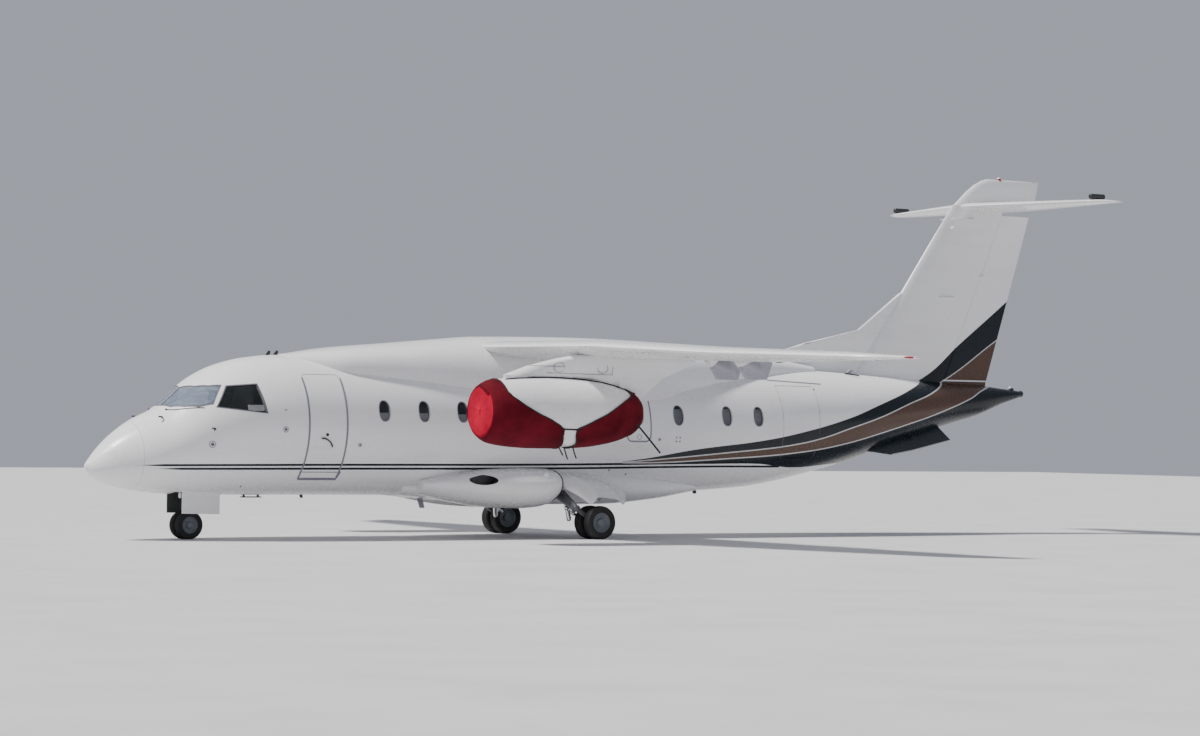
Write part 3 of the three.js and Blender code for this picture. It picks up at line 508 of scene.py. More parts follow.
# One finish with a fine grain, cloudy in colour and roughness; depth is in metres
def plainMaterial(name, color, roughness, metallic=0.0, coat=0.0, grain=30.0, change=0.12, depth=0.0005):
    material = newMaterial(name, color, roughness, metallic, coat)
    nodes = Nodes(material)
    cloud = nodes.noise(grain, 5.0)
    darker = tuple(c * (1 - change) for c in color)
    lighter = tuple(min(1.0, c * (1 + change) + 0.01) for c in color)
    nodes.link(nodes.mix(nodes.spread(cloud, 0.3, 0.7), darker, lighter), "Base Color")
    low, high = max(0.03, roughness - 0.08), min(1.0, roughness + 0.1)
    nodes.link(nodes.spread(cloud, 0.25, 0.75, low, high), "Roughness")
    nodes.bump(nodes.noise(grain * 4, 3.0), 0.3, depth)
    return material


navyPaint = plainMaterial("navyPaint", (0.004, 0.010, 0.016), 0.3, coat=0.05, grain=6, change=0.4)
liningPanel = plainMaterial("liningPanel", (0.44, 0.43, 0.41), 0.7, grain=40)
floorCarpet = plainMaterial("floorCarpet", (0.10, 0.11, 0.14), 0.95, grain=260, change=0.35, depth=0.002)
panelPlastic = plainMaterial("panelPlastic", (0.035, 0.036, 0.040), 0.55, grain=60)
seatLeather = plainMaterial("seatLeather", (0.07, 0.075, 0.09), 0.6, grain=90, depth=0.001)
hubPaint = plainMaterial("hubPaint", (0.16, 0.18, 0.20), 0.5, 0.3, grain=30)
bareMetal = plainMaterial("bareMetal", (0.50, 0.51, 0.52), 0.32, 1.0, grain=30)
oleoChrome = plainMaterial("oleoChrome", (0.75, 0.76, 0.78), 0.08, 1.0, grain=12, change=0.04, depth=0.0001)
darkRubber = plainMaterial("darkRubber", (0.018, 0.018, 0.019), 0.8, grain=40, depth=0.0008)
sealRubber = plainMaterial("sealRubber", (0.10, 0.10, 0.13), 0.7, grain=50)
webbing = plainMaterial("webbing", (0.012, 0.012, 0.014), 0.85, grain=220, depth=0.0008)
blindCloth = plainMaterial("blindCloth", (0.72, 0.72, 0.78), 0.85, grain=120)
placardWhite = plainMaterial("placardWhite", (0.86, 0.86, 0.88), 0.6, grain=60)
redLens = plainMaterial("redLens", (0.45, 0.01, 0.015), 0.12, coat=0.5, grain=14)
greenLens = plainMaterial("greenLens", (0.01, 0.30, 0.08), 0.12, coat=0.5, grain=14)
clearLens = plainMaterial("clearLens", (0.80, 0.82, 0.84), 0.08, coat=0.6, grain=14)
blackPaint = plainMaterial("blackPaint", (0.02, 0.02, 0.022), 0.45, grain=20)


# Tinted glass with smears; share is how much of the tint covers what is behind it
def glassMaterial(name, tint, roughness, share):
    material = newMaterial(name, tint, roughness)
    nodes = Nodes(material)
    nodes.shader.inputs["Alpha"].default_value = share
    nodes.shader.inputs["IOR"].default_value = 1.5
    smear = nodes.noise(6.0, 6.0, (1, 1, 3))
    nodes.link(nodes.spread(smear, 0.35, 0.75, roughness, roughness + 0.08), "Roughness")
    lighter = tuple(c * 1.6 + 0.01 for c in tint)
    nodes.link(nodes.mix(nodes.spread(smear, 0.45, 0.8), tint, lighter), "Base Color")
    return material


cabinGlass = glassMaterial("cabinGlass", (0.020, 0.026, 0.030), 0.02, 0.28)
# The windshield's pale blue is partly the glass's tint and partly painted reflection of the sky
screenGlassSkyReflection = glassMaterial("screenGlassSkyReflection", (0.24, 0.29, 0.38), 0.02, 0.42)
windowGlass = glassMaterial("windowGlass", (0.020, 0.024, 0.032), 0.03, 0.34)
# Near-black lining for the cabin behind the windows: painted shade where the lit interior would be
shadedCabinLining = plainMaterial("shadedCabinLining", (0.035, 0.036, 0.040), 0.85, grain=40)
frameGrey = plainMaterial("frameGrey", (0.34, 0.34, 0.38), 0.45, grain=60)
seamGrey = plainMaterial("seamGrey", (0.20, 0.20, 0.26), 0.6, grain=60)
# Very dark grey for the main gear arms: painted shade in place of their own lighter colour
legShadeGrey = plainMaterial("legShadeGrey", (0.10, 0.105, 0.115), 0.4, coat=0.2, grain=30)
# Near-black for the inner faces of the nose gear door leaves: painted shade
doorInsideShade = plainMaterial("doorInsideShade", (0.055, 0.060, 0.058), 0.6, grain=30)
# Grey-lavender for the flap track fairings, which are white paint in fact: painted shade
fairingShadeGrey = plainMaterial("fairingShadeGrey", (0.36, 0.36, 0.42), 0.45, grain=40)


# Heavy woven cloth: weave in the bump, sun-bleached and dusty in patches
def clothMaterial(name, color):
    material = newMaterial(name, color, 0.9)
    nodes = Nodes(material)
    fade = nodes.noise(2.2, 5.0)
    dust = nodes.noise(16.0, 5.0)
    faded = tuple(min(1.0, c * 1.35 + 0.004) for c in color)
    dull = tuple(c * 0.55 for c in color)
    worn = nodes.mix(nodes.spread(fade, 0.35, 0.75), dull, faded)
    nodes.link(nodes.mix(nodes.spread(dust, 0.25, 0.8, 0.0, 0.35), worn, color), "Base Color")
    weave = nodes.add("ShaderNodeTexWave", {"Vector": nodes.place, "Scale": 180.0, "Distortion": 1.5},
                      wave_type="BANDS", bands_direction="DIAGONAL").outputs["Fac"]
    creases = nodes.noise(9.0, 4.0, (1, 1, 2.5))
    nodes.bump(nodes.math("ADD", nodes.math("MULTIPLY", weave, 0.06), creases), 0.5, 0.006)
    nodes.shader.inputs["Specular IOR Level"].default_value = 0.15
    return material


# Painted light and shade: one cover cloth in two copies. The brighter red is painted sunlight on the front
# disc. The darker maroon is painted shade on the skirt, rear bag, piping and grab strap.
sunlitCoverRed = clothMaterial("sunlitCoverRed", (0.47, 0.003, 0.030))
shadedCoverRed = clothMaterial("shadedCoverRed", (0.115, 0.002, 0.010))


# Tyre: dusty rubber with a fine grain in the bump
def tyreMaterial():
    material = newMaterial("tyreRubber", (0.020, 0.020, 0.021), 0.82)
    nodes = Nodes(material)
    dust = nodes.spread(nodes.noise(7.0, 6.0), 0.45, 0.75)
    dusty = nodes.mix(nodes.math("MULTIPLY", dust, 0.5), (0.012, 0.012, 0.013), (0.052, 0.048, 0.045))
    nodes.link(dusty, "Base Color")
    nodes.link(nodes.spread(dust, 0.0, 1.0, 0.7, 0.95), "Roughness")
    nodes.bump(nodes.noise(120.0, 3.0), 0.4, 0.0008)
    return material


tyreRubber = tyreMaterial()
print("materials made")


# Fuselage
body = {
    # station, bottom, top, half width, widest level
    "rows": [
        (0.000, 1.225, 1.295, 0.030, 1.260), (0.100, 1.100, 1.410, 0.170, 1.250),
        (0.250, 1.010, 1.580, 0.310, 1.280), (0.500, 0.920, 1.810, 0.490, 1.330),
        (0.900, 0.845, 2.080, 0.710, 1.420), (1.330, 0.800, 2.280, 0.880, 1.550),
        (1.550, 0.790, 2.460, 0.945, 1.640), (1.760, 0.785, 2.640, 1.000, 1.720),
        (2.100, 0.780, 2.880, 1.080, 1.830), (2.500, 0.775, 3.060, 1.150, 1.920),
        (3.000, 0.770, 3.180, 1.200, 1.980), (3.600, 0.770, 3.240, 1.220, 2.000),
        (4.600, 0.770, 3.245, 1.220, 2.000), (11.500, 0.800, 3.245, 1.220, 2.000),
        (12.300, 0.830, 3.245, 1.218, 2.015), (13.000, 0.870, 3.240, 1.210, 2.030),
        (13.800, 0.930, 3.240, 1.190, 2.060), (14.400, 1.020, 3.230, 1.155, 2.105),
        (15.000, 1.140, 3.220, 1.100, 2.160), (16.100, 1.390, 3.180, 0.980, 2.270),
        (16.900, 1.630, 3.140, 0.860, 2.380), (17.900, 1.900, 3.085, 0.665, 2.480),
        (18.800, 2.150, 3.030, 0.470, 2.590), (19.700, 2.380, 2.990, 0.300, 2.690),
        (20.300, 2.600, 2.935, 0.175, 2.775), (20.780, 2.745, 2.890, 0.080, 2.820),
        (20.920, 2.790, 2.860, 0.035, 2.825)],
    "around": 96, "skin": 0.06, "radomeEnd": 0.80, "coneStart": 20.0, "end": 20.92, "joint": 0.003,
}
bodyAt = smoothTable(body["rows"])


# The section is half an ellipse above the widest level and another below it
def bodyPoint(station, angle, grow=0.0):
    bottom, top, half, level = bodyAt(station)
    height = (top - level if math.sin(angle) > 0 else level - bottom) + grow
    return Vector((noseX + station, (half + grow) * math.cos(angle), level + height * math.sin(angle)))


def bodySide(station, z):
    bottom, top, half, level = bodyAt(station)
    height = top - level if z > level else level - bottom
    return half * math.sqrt(max(0.0, 1 - ((z - level) / height) ** 2))


def bodyShell(stations, grow=0.0, noseCap=False, tailCap=False):
    around = body["around"]
    last = len(stations) - 1

    def pointAt(u, v):
        if (noseCap and u == 0) or (tailCap and u == last):
            return Vector((noseX + stations[u], 0, bodyAt(stations[u])[3]))
        ring = stations[u + 1] if noseCap and u == 0 else stations[u]
        return bodyPoint(ring, 2 * math.pi * v / around, grow)
    return gridLoft(last, around, pointAt)


# Stations with both ends twice, once for the closing point and once for the last ring
def capped(start, end, step):
    inner = spaced(start, end, step)
    return [inner[0], *inner, inner[-1]]


# The body as one solid under the skin, to cut other pieces with
def bodyCore(depth, start=0.01, end=20.91, step=0.25):
    return bodyShell(capped(start, end, step), -depth, True, True)


def thicken(obj, thickness, innerSlot=0):
    wall = obj.modifiers.new("wall", "SOLIDIFY")
    wall.thickness = thickness
    wall.offset = -1
    wall.use_even_offset = False
    wall.material_offset = innerSlot
    wall.material_offset_rim = innerSlot
    applyModifier(obj, wall)
    return obj


# Doors: the corners beside a hinge are nearly square, so that the panel swings clear of the skin
door = {"front": 3.690, "aft": 4.420, "sill": 1.080, "head": 2.900, "corner": 0.07, "foot": 0.012,
        "gap": 0.008, "panel": 0.058, "port": (-1.5, -0.45), "stepInset": 0.09, "stepThickness": 0.04,
        # level, inner y, outer y
        "steps": [(1.330, -0.700, -1.000), (1.620, -0.790, -1.130), (1.910, -0.840, -1.190),
                  (2.200, -0.840, -1.170)]}
hold = {"front": 13.960, "aft": 14.890, "sill": 1.500, "head": 2.880, "corner": 0.012, "foot": 0.08,
        "gap": 0.008}
exitHatch = {"front": 10.33, "aft": 10.88, "sill": 1.77, "head": 2.78, "corner": 0.12, "foot": 0.12,
             "line": 0.028, "handle": (10.612, 1.866), "handleSize": 0.10, "handleLine": 0.010}
windows = {"stations": [5.19, 6.00, 6.80, 7.60, 8.40, 9.20, 10.59, 11.50, 12.62, 13.36],
           # how far up each blind reaches
           "blinds": [0.15, 0.15, 0.14, 0.17, 0.15, 0.16, 0.05, 0.30, 0.32, 0.32],
           "level": 2.275, "width": 0.215, "height": 0.36, "frame": 0.014, "paneDepth": 0.014, "pane": 0.006,
           "blindDepth": 0.045, "blind": 0.004, "liningDepth": 0.085}
panes = {"windshield": [(1.385, 0.028), (1.749, 0.028), (1.856, 0.380), (2.021, 0.596), (2.190, 0.715),
                        (1.980, 0.868), (1.759, 0.764), (1.577, 0.584), (1.432, 0.344)],
         "side": [(2.035, 2.305), (2.875, 2.215), (2.785, 2.702), (2.275, 2.660)], "inset": 0.004,
         "depth": 0.006, "glass": 0.016}  # windshield in station and y, side pane in station and level


def frameOutline(d, grow=0.0):
    return roundedOutline(noseX + d["front"] - grow, noseX + d["aft"] + grow, d["sill"] - grow,
                          d["head"] + grow, d["corner"] + grow, foot=d["foot"] + grow)


# The outline moved inwards by the gap, or outwards where the gap is below nought
def insetOutline(outline, gap):
    points = [Vector(p) for p in outline]
    area = sum(a.x * b.y - b.x * a.y for a, b in zip(points, points[1:] + points[:1]))
    turn = 1 if area > 0 else -1
    result = []
    for i, point in enumerate(points):
        before = (point - points[i - 1]).normalized()
        after = (points[(i + 1) % len(points)] - point).normalized()
        n1 = Vector((-before.y, before.x)) * turn
        n2 = Vector((-after.y, after.x)) * turn
        result.append(tuple(point + (n1 + n2) * gap / (1 + n1.dot(n2))))
    return result


def paneCutter(kind, sign, inset=0.0):
    if kind == "windshield":
        outline = [(noseX + s, sign * y) for s, y in panes["windshield"]]
        if inset:
            outline = insetOutline(outline, inset)
        obj = prism([(x, 0) for x, y in outline], 0, 1)
        for vertex, (x, y) in zip(obj.data.vertices, list(outline) * 2):
            vertex.co = (x, y, 2.15 if vertex.co.y < 0.5 else 3.5)
        return weld(obj)
    outline = [(noseX + s, z) for s, z in panes["side"]]
    if inset:
        outline = insetOutline(outline, inset)
    return prism(outline, sign * 0.56, sign * 1.46)


def fuselageCutters():
    cutters = [prism(frameOutline(door), *door["port"]), prism(frameOutline(hold), *door["port"])]
    for station in windows["stations"]:
        outline = ovalOutline(noseX + station, windows["level"], windows["width"], windows["height"])
        cutters.append(prism(outline, -1.5, 1.5))
    for _, sign in sides:
        cutters += [paneCutter("windshield", sign), paneCutter("side", sign)]
    cutters.append(block((noseX + 1.56, -0.27, 0.5), (noseX + 2.48, 0.27, 1.085)))  # nose wheel well
    return joined(cutters)


skinStart, skinEnd = body["radomeEnd"] + body["joint"], body["coneStart"] - body["joint"]
fuselageSkin = bodyShell(spaced(skinStart, 3.6, 0.07) + spaced(3.7, 13.0, 0.3) + spaced(13.2, skinEnd, 0.2))
fuselageSkin.data.materials.append(liveryPaint)
fuselageSkin.data.materials.append(liningPanel)
thicken(fuselageSkin, body["skin"], 1)
cutters = fuselageCutters()
cutters.data.materials.clear()
cutters.data.materials.append(liningPanel)
cut(fuselageSkin, cutters)
piece(smooth(fuselageSkin), "fuselageSkin", None, standsFor=["fuselage"])

radomeRings = [body["radomeEnd"] * (i / 24) ** 1.7 for i in range(25)]  # closer together at the tip
radomeSkin = bodyShell([0.0, *radomeRings, body["radomeEnd"]], 0.0, True, True)
piece(smooth(radomeSkin), "radomeSkin", liveryPaint, standsFor=["radome"])
coneSkin = bodyShell(capped(body["coneStart"] + body["joint"], body["end"], 0.06), 0.0, True, True)
piece(smooth(coneSkin, 50), "tailConeSkin", liveryPaint, standsFor=["tail_cone"])
print("fuselage made")


def doorPanel(d, name, node):
    shell = bodyShell(spaced(d["front"] - 0.15, d["aft"] + 0.15, 0.05))
    shell.data.materials.append(liveryPaint)
    shell.data.materials.append(liningPanel)
    thicken(shell, door["panel"], 1)
    cutter = prism(frameOutline(d, -d["gap"]), *door["port"])
    cutter.data.materials.append(liningPanel)
    cut(shell, cutter, "INTERSECT")
    piece(smooth(shell), name, None, node, [node])


doorPanel(door, "passengerDoor", "passenger_door")
doorPanel(hold, "baggageDoor", "baggage_door")
stepFront, stepAft = noseX + door["front"] + door["stepInset"], noseX + door["aft"] - door["stepInset"]
steps = [block((stepFront, outer, level), (stepAft, inner, level + door["stepThickness"]), 0.006)
         for level, inner, outer in door["steps"]]
piece(joined(steps), "doorSteps", bareMetal, "passenger_door")

# Floors and walls: first and last station, y and level, cut to the shape of the body
cabin = [
    ("cabinFloor", (1.45, 4.56, -1.0, 1.0, 1.11, 1.15), floorCarpet),
    ("aftPartition", (4.50, 4.56, -1.14, 1.14, 1.13, 3.12), liningPanel),
    ("holdFloor", (13.10, 15.06, -1.0, 1.0, 1.44, 1.48), liningPanel),
    ("holdFrontWall", (13.06, 13.10, -1.12, 1.12, 1.30, 3.10), liningPanel),
    ("holdAftWall", (15.06, 15.10, -1.0, 1.0, 1.35, 3.08), liningPanel),
]
bodySolid = bodyCore(0.03)
for name, (s0, s1, y0, y1, z0, z1), paint in cabin:
    wall = block((noseX + s0, y0, z0), (noseX + s1, y1, z1))
    cut(wall, bodySolid, "INTERSECT", keep=True)
    piece(wall, name, paint)
bulkhead = block((noseX + 3.33, -1.19, 1.13), (noseX + 3.39, 1.19, 3.2))
cut(bulkhead, block((noseX + 3.2, -0.3, 1.1), (noseX + 3.5, 0.3, 2.95)))  # the way through to the flight deck
cut(bulkhead, bodySolid, "INTERSECT", keep=True)
piece(bulkhead, "flightDeckBulkhead", liningPanel)
bpy.data.objects.remove(bodySolid)
print("doors and cabin made")

for side, sign in sides:
    for kind, node, glass in (("windshield", "windshield_", screenGlassSkyReflection),
                              ("side", "side_window_", cabinGlass)):
        pane = bodyShell(spaced(1.25, 3.05, 0.05), -panes["depth"])
        thicken(pane, panes["glass"])
        cut(pane, paneCutter(kind, sign, panes["inset"]), "INTERSECT")
        piece(smooth(pane), node + side + "_pane", glass, standsFor=[node + side])

# Wing root fairing: an arch over the body, whose foot lies inside it
hump = {"rows": [  # station, lowest level, top, half width
    (3.760, 3.090, 3.262, 0.330), (4.700, 2.950, 3.400, 0.830), (5.800, 2.850, 3.500, 0.950),
    (7.000, 2.730, 3.610, 1.050), (7.700, 2.640, 3.668, 1.100), (9.800, 2.500, 3.700, 1.150),
    (11.000, 2.560, 3.680, 1.140), (12.000, 2.800, 3.640, 1.010), (13.000, 2.960, 3.570, 0.830),
    (14.200, 3.080, 3.450, 0.560), (15.400, 3.160, 3.290, 0.250)],
    "step": 0.12, "arch": 40, "squareness": 0.75, "foot": 0.2}
humpAt = smoothTable(hump["rows"])
humpStations = capped(hump["rows"][0][0], hump["rows"][-1][0], hump["step"])


def humpPoint(u, v):
    station = humpStations[u]
    low, top, half = humpAt(station)
    x = noseX + station
    if u in (0, len(humpStations) - 1):
        return Vector((x, 0, low))
    if v > hump["arch"]:
        side = -1 if v == hump["arch"] + 1 else 1
        return Vector((x, side * half * 0.5, low - hump["foot"]))
    angle = math.pi * v / hump["arch"]
    c, s = math.cos(angle), math.sin(angle)
    width = math.copysign(abs(c) ** hump["squareness"], c)
    return Vector((x, half * width, low + (top - low) * max(0.0, s) ** hump["squareness"]))


humpSkin = gridLoft(len(humpStations) - 1, hump["arch"] + 3, humpPoint)
bodySolid = bodyCore(0.012)
cut(humpSkin, bodySolid, keep=True)
piece(smooth(humpSkin, 40), "wingRootFairing", whitePaint,
      standsFor=["wing_root_fairing"])
print("fairing made")

# Surfaces that keep the frame's shape: node, piece, body, paint
# Below this level the outer flap's faces are its track fairings, which are painted grey as shade
fairingShadeTop = 3.13
kept = [("wing", "wingSkin", "airframe", whitePaint), ("tailplane", "tailplaneSkin", "airframe", whitePaint),
        ("fin", "finSkin", "airframe", liveryPaint), ("rudder", "rudderSkin", "rudder", liveryPaint),
        ("fin_tip", "finTipSkin", "airframe", whitePaint)]
for side, _ in sides:
    kept += [(f"flap_inner_{side}", f"flapInner_{side}", f"flap_inner_{side}", whitePaint),
             (f"flap_outer_{side}", f"flapOuter_{side}", f"flap_outer_{side}", whitePaint),
             (f"aileron_{side}", f"aileronSkin_{side}", f"aileron_{side}", whitePaint),
             (f"elevator_{side}", f"elevatorSkin_{side}", f"elevator_{side}", whitePaint),
             (f"pylon_{side}", f"pylonSkin_{side}", "airframe", whitePaint),
             (f"ventral_fin_{side}", f"ventralFin_{side}", "airframe", navyPaint),
             (f"nose_gear_door_{side}", f"noseGearDoor_{side}", "airframe", whitePaint)]
for node, name, rides, paint in kept:
    skin = piece(dressed(node), name, paint, rides, [node])
    if node.startswith("nose_gear_door"):
        skin.data.materials.append(doorInsideShade)
        away = -1 if node.endswith("left") else 1
        # The leaf's inner faces get the near-black copy, which is painted shade
        for face in skin.data.polygons:
            face.material_index = 1 if face.normal.y * away < -0.5 else 0  # the leaf's inner face
    # The fairing faces below the level take the grey: painted shade on white paint
    if node.startswith("flap_outer"):
        skin.data.materials.append(fairingShadeGrey)
        for face in skin.data.polygons:
            face.material_index = 1 if face.center.z < fairingShadeTop else 0
for nodeName, paint in (("instrument_panel", panelPlastic), ("pilot_seats", seatLeather)):
    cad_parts[nodeName].data.materials.clear()
    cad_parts[nodeName].data.materials.append(paint)
print("wing and tail dressed")

# Nacelles: the profile runs from the lip over the outside to the exhaust and back inside
nacelle = {"y": 3.5, "z": 2.29, "profile": [
    (5.830, 0.425), (5.790, 0.440), (5.800, 0.460), (5.850, 0.500), (5.950, 0.532), (6.050, 0.552),
    (6.250, 0.576), (6.450, 0.592), (6.750, 0.604), (7.000, 0.608), (7.400, 0.604), (7.800, 0.585),
    (8.100, 0.552), (8.350, 0.506), (8.600, 0.440), (8.800, 0.372), (8.795, 0.356), (8.150, 0.500),
    (6.700, 0.500), (6.150, 0.405), (5.900, 0.408), (5.830, 0.425)]}
for side, sign in sides:
    profile = [(noseX + s, r) for s, r in nacelle["profile"]]
    shell = spun(profile, (0, sign * nacelle["y"], nacelle["z"]), "X")
    piece(smooth(shell, 35), f"nacelleShell_{side}", whitePaint,
          standsFor=[f"nacelle_{side}"])
    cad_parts[f"engine_{side}"].data.materials.clear()
    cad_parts[f"engine_{side}"].data.materials.append(bareMetal)
print("nacelles made")

# Belly fairing, a rounded trough over the lower body, with the main wheel wells
belly = {"rows": [  # station, bottom, half width, top
    (5.900, 0.765, 0.620, 1.000), (6.700, 0.690, 0.840, 1.150), (7.600, 0.620, 0.900, 1.230),
    (8.600, 0.595, 0.900, 1.260), (10.200, 0.595, 0.900, 1.260), (11.300, 0.680, 0.860, 1.150),
    (12.300, 0.830, 0.640, 1.000)],
    "step": 0.16, "around": 64, "wellStations": (8.83, 10.06), "wellSide": 0.9, "wellHalf": 0.2,
    "wellTop": 1.01}
bellyAt = smoothTable(belly["rows"])
bellyStations = capped(belly["rows"][0][0], belly["rows"][-1][0], belly["step"])


def bellyPoint(u, v):
    bottom, half, top = bellyAt(bellyStations[u])
    x = noseX + bellyStations[u]
    if u in (0, len(bellyStations) - 1):
        return Vector((x, 0, top))
    rise = top - bottom
    shoulder, chine = bottom + rise * 0.35, bottom + rise * 0.12
    ring = [(-half, top), (-half, shoulder), (-half * 0.86, chine), (-half * 0.6, bottom),
            (half * 0.6, bottom), (half * 0.86, chine), (half, shoulder), (half, top)]
    i, t = divmod(v * 8 / belly["around"], 1)
    a, b, c = (Vector(ring[int(i + k) % 8]) for k in (-1, 0, 1))
    point = (a + b) / 2 * (1 - t) ** 2 + b * 2 * t * (1 - t) + (b + c) / 2 * t ** 2
    return Vector((x, point.x, point.y))


bellySkin = gridLoft(len(bellyStations) - 1, belly["around"], bellyPoint)
wellFront, wellAft = (noseX + station for station in belly["wellStations"])
wells = [block((wellFront, sign * belly["wellSide"] - belly["wellHalf"], 0.4),
               (wellAft, sign * belly["wellSide"] + belly["wellHalf"], belly["wellTop"]))
         for _, sign in sides]
cut(bellySkin, joined(wells))
cut(bellySkin, bodySolid, keep=True)
piece(smooth(bellySkin, 40), "bellySkin", whitePaint, standsFor=["belly_fairing"])

# Sponsons, with an oval inlet whose recess walls are black as painted shade, and a black cord at their aft
# end as painted shade along that edge
sponson = {"rows": [  # station, outer y, bottom, top
    (6.150, 0.950, 0.800, 1.060), (6.900, 1.260, 0.650, 1.240), (7.600, 1.450, 0.560, 1.290),
    (8.200, 1.510, 0.535, 1.300), (8.620, 1.490, 0.560, 1.295), (8.800, 1.420, 0.640, 1.280)],
    "step": 0.07, "root": 0.56, "arch": 36, "squareness": 0.8, "seam": 8.797, "seamRadius": 0.012,
    "inlet": (7.18, 1.065, 0.26, 0.09, 1.23)}  # station, level, half length, half height, y of its floor
sponsonAt = smoothTable(sponson["rows"])
sponsonStations = capped(sponson["rows"][0][0], sponson["rows"][-1][0], sponson["step"])


def sponsonLevel(station):
    outer, bottom, top = sponsonAt(station)
    return (bottom + top) / 2 + 0.06


# A point of the sponson's outside, from the lowest at -90 degrees to the top at 90
def sponsonPoint(shapeStation, station, angle, sign):
    outer, bottom, top = sponsonAt(shapeStation)
    level, root = sponsonLevel(shapeStation), sponson["root"]
    height = level - bottom if angle < 0 else top - level
    reach = max(0.0, math.cos(angle)) ** sponson["squareness"]
    return Vector((noseX + station, sign * (root + (outer - root) * reach), level + height * math.sin(angle)))


for side, sign in sides:
    def shellPoint(u, v):
        station = sponsonStations[u]
        if u in (0, len(sponsonStations) - 1):
            return Vector((noseX + station, sign * (sponson["root"] + 0.1), sponsonLevel(station)))
        angle = -math.pi / 2 + math.pi * min(v, sponson["arch"]) / sponson["arch"]
        return sponsonPoint(station, station, angle, sign)
    shell = gridLoft(len(sponsonStations) - 1, sponson["arch"] + 1, shellPoint)
    station, level, half, rise, depth = sponson["inlet"]
    hole = prism(ovalOutline(noseX + station, level, 2 * half, 2 * rise, 32, 1.0), sign * depth, sign * 1.8)
    # The inlet's cut walls and floor take black: painted shade of a deep intake
    hole.data.materials.append(blackPaint)
    shell.data.materials.append(whitePaint)
    shell.data.materials.append(blackPaint)
    cut(shell, hole)
    cut(shell, bodySolid, keep=True)
    piece(smooth(shell, 40), f"sponson_{side}", None)
bpy.data.objects.remove(bodySolid)
for side, sign in sides:
    # A black cord round the aft end: painted shade along that edge
    seam = [sponsonPoint(8.79, sponson["seam"], math.radians(a), sign) for a in range(-60, 56, 5)]
    piece(smooth(wire(seam, sponson["seamRadius"]), 50), f"sponsonShadeLine_{side}", blackPaint)
print("belly made")


# Tools for trim that lies on the body
def resampled(outline, step=0.05):
    points = []
    for a, b in zip(outline, outline[1:] + outline[:1]):
        a, b = Vector(a), Vector(b)
        count = max(1, math.ceil((b - a).length / step))
        points += [tuple(a.lerp(b, i / count)) for i in range(count)]
    return [p for p, q in zip(points, points[1:] + points[:1]) if (Vector(p) - Vector(q)).length > 1e-6]


def bodyTop(station, y):
    bottom, top, half, level = bodyAt(station)
    return level + (top - level) * math.sqrt(max(0.0, 1 - (y / half) ** 2))


# A flat piece laid on the body's side, whose y is its height over the skin
def onFlank(obj, sign):
    delta = 0.01
    for vertex in obj.data.vertices:
        x, depth, z = vertex.co
        side = bodySide(x - noseX, z)
        alongSlope = (bodySide(x - noseX + delta, z) - side) / delta
        upSlope = (bodySide(x - noseX, z + delta) - side) / delta
        normal = Vector((-alongSlope, 1, -upSlope)).normalized()
        place = Vector((x, side, z)) + normal * depth
        vertex.co = (place.x, sign * place.y, place.z)
    return weld(obj)


# The same for the roof, where the piece is drawn in station and y
def onTop(obj, sign):
    delta = 0.01
    for vertex in obj.data.vertices:
        x, depth, y = vertex.co
        top = bodyTop(x - noseX, y)
        alongSlope = (bodyTop(x - noseX + delta, y) - top) / delta
        sideSlope = (bodyTop(x - noseX, y + delta) - top) / delta
        place = Vector((x, y, top)) + Vector((-alongSlope, -sideSlope, 1)).normalized() * depth
        vertex.co = (place.x, sign * place.y, place.z)
    return weld(obj)


# A frame along the outline, from low to high over the skin
def band(outline, width, low, high):
    ring = resampled(outline)
    inner = insetOutline(ring, width)
    corners = ((ring, low), (ring, high), (inner, high), (inner, low))

    def pointAt(u, v):
        source, depth = corners[v % 4]
        a, b = source[u % len(ring)]
        return Vector((a, depth, b))
    return gridLoft(len(ring), 4, pointAt)


# A flat strip along the points, its width as near as can be to the direction across
def ribbon(points, across, width, thickness):
    path = [Vector(p) for p in points]
    path = [path[0], *path, path[-1]]
    last = len(path) - 1
    corners = ((-1, -1), (1, -1), (1, 1), (-1, 1))

    def pointAt(u, v):
        if u in (0, last):
            return path[u]
        along = (path[min(u + 1, last)] - path[max(u - 1, 0)]).normalized()
        side = (Vector(across) - along * along.dot(Vector(across))).normalized()
        a, b = corners[v % 4]
        return path[u] + side * (a * width / 2) + along.cross(side) * (b * thickness / 2)
    return gridLoft(last, 4, pointAt)


# A smooth curve through the points
def curved(points, count=8):
    path = [Vector(p) for p in points]
    result = []
    for i in range(len(path) - 1):
        a, b, c, d = (path[max(0, min(len(path) - 1, i + k))] for k in (-1, 0, 1, 2))
        for j in range(count):
            t = j / count
            result.append(0.5 * (2 * b + (c - a) * t + (2 * a - 5 * b + 4 * c - d) * t ** 2
                                 + (3 * b - a - 3 * c + d) * t ** 3))
    return result + [path[-1]]


# A thin blade with bevelled edges
def fin(outline, thickness, place, turn=(0, 0, 0)):
    obj = prism(outline, -thickness / 2, thickness / 2)
    bevelEdges(obj, min(0.004, thickness * 0.3))
    only(obj)
    obj.location = place
    obj.rotation_euler = turn
    bpy.ops.object.transform_apply(location=True, rotation=True, scale=True)
    return obj


def mirrorTwin(obj):
    only(obj)
    bpy.ops.object.duplicate()
    twin = bpy.context.object
    editAll(twin)
    bpy.ops.transform.resize(value=(1, -1, 1), center_override=(0, 0, 0))
    bpy.ops.mesh.normals_make_consistent(inside=False)
    leaveEdit()
    return twin


def onBothSides(obj, name, paint, rides="airframe"):
    twin = mirrorTwin(obj)
    for side, part in (("left", obj), ("right", twin)):
        rider = f"{rides}_{side}" if rides != "airframe" else rides
        piece(part, f"{name}_{side}", paint, rider)


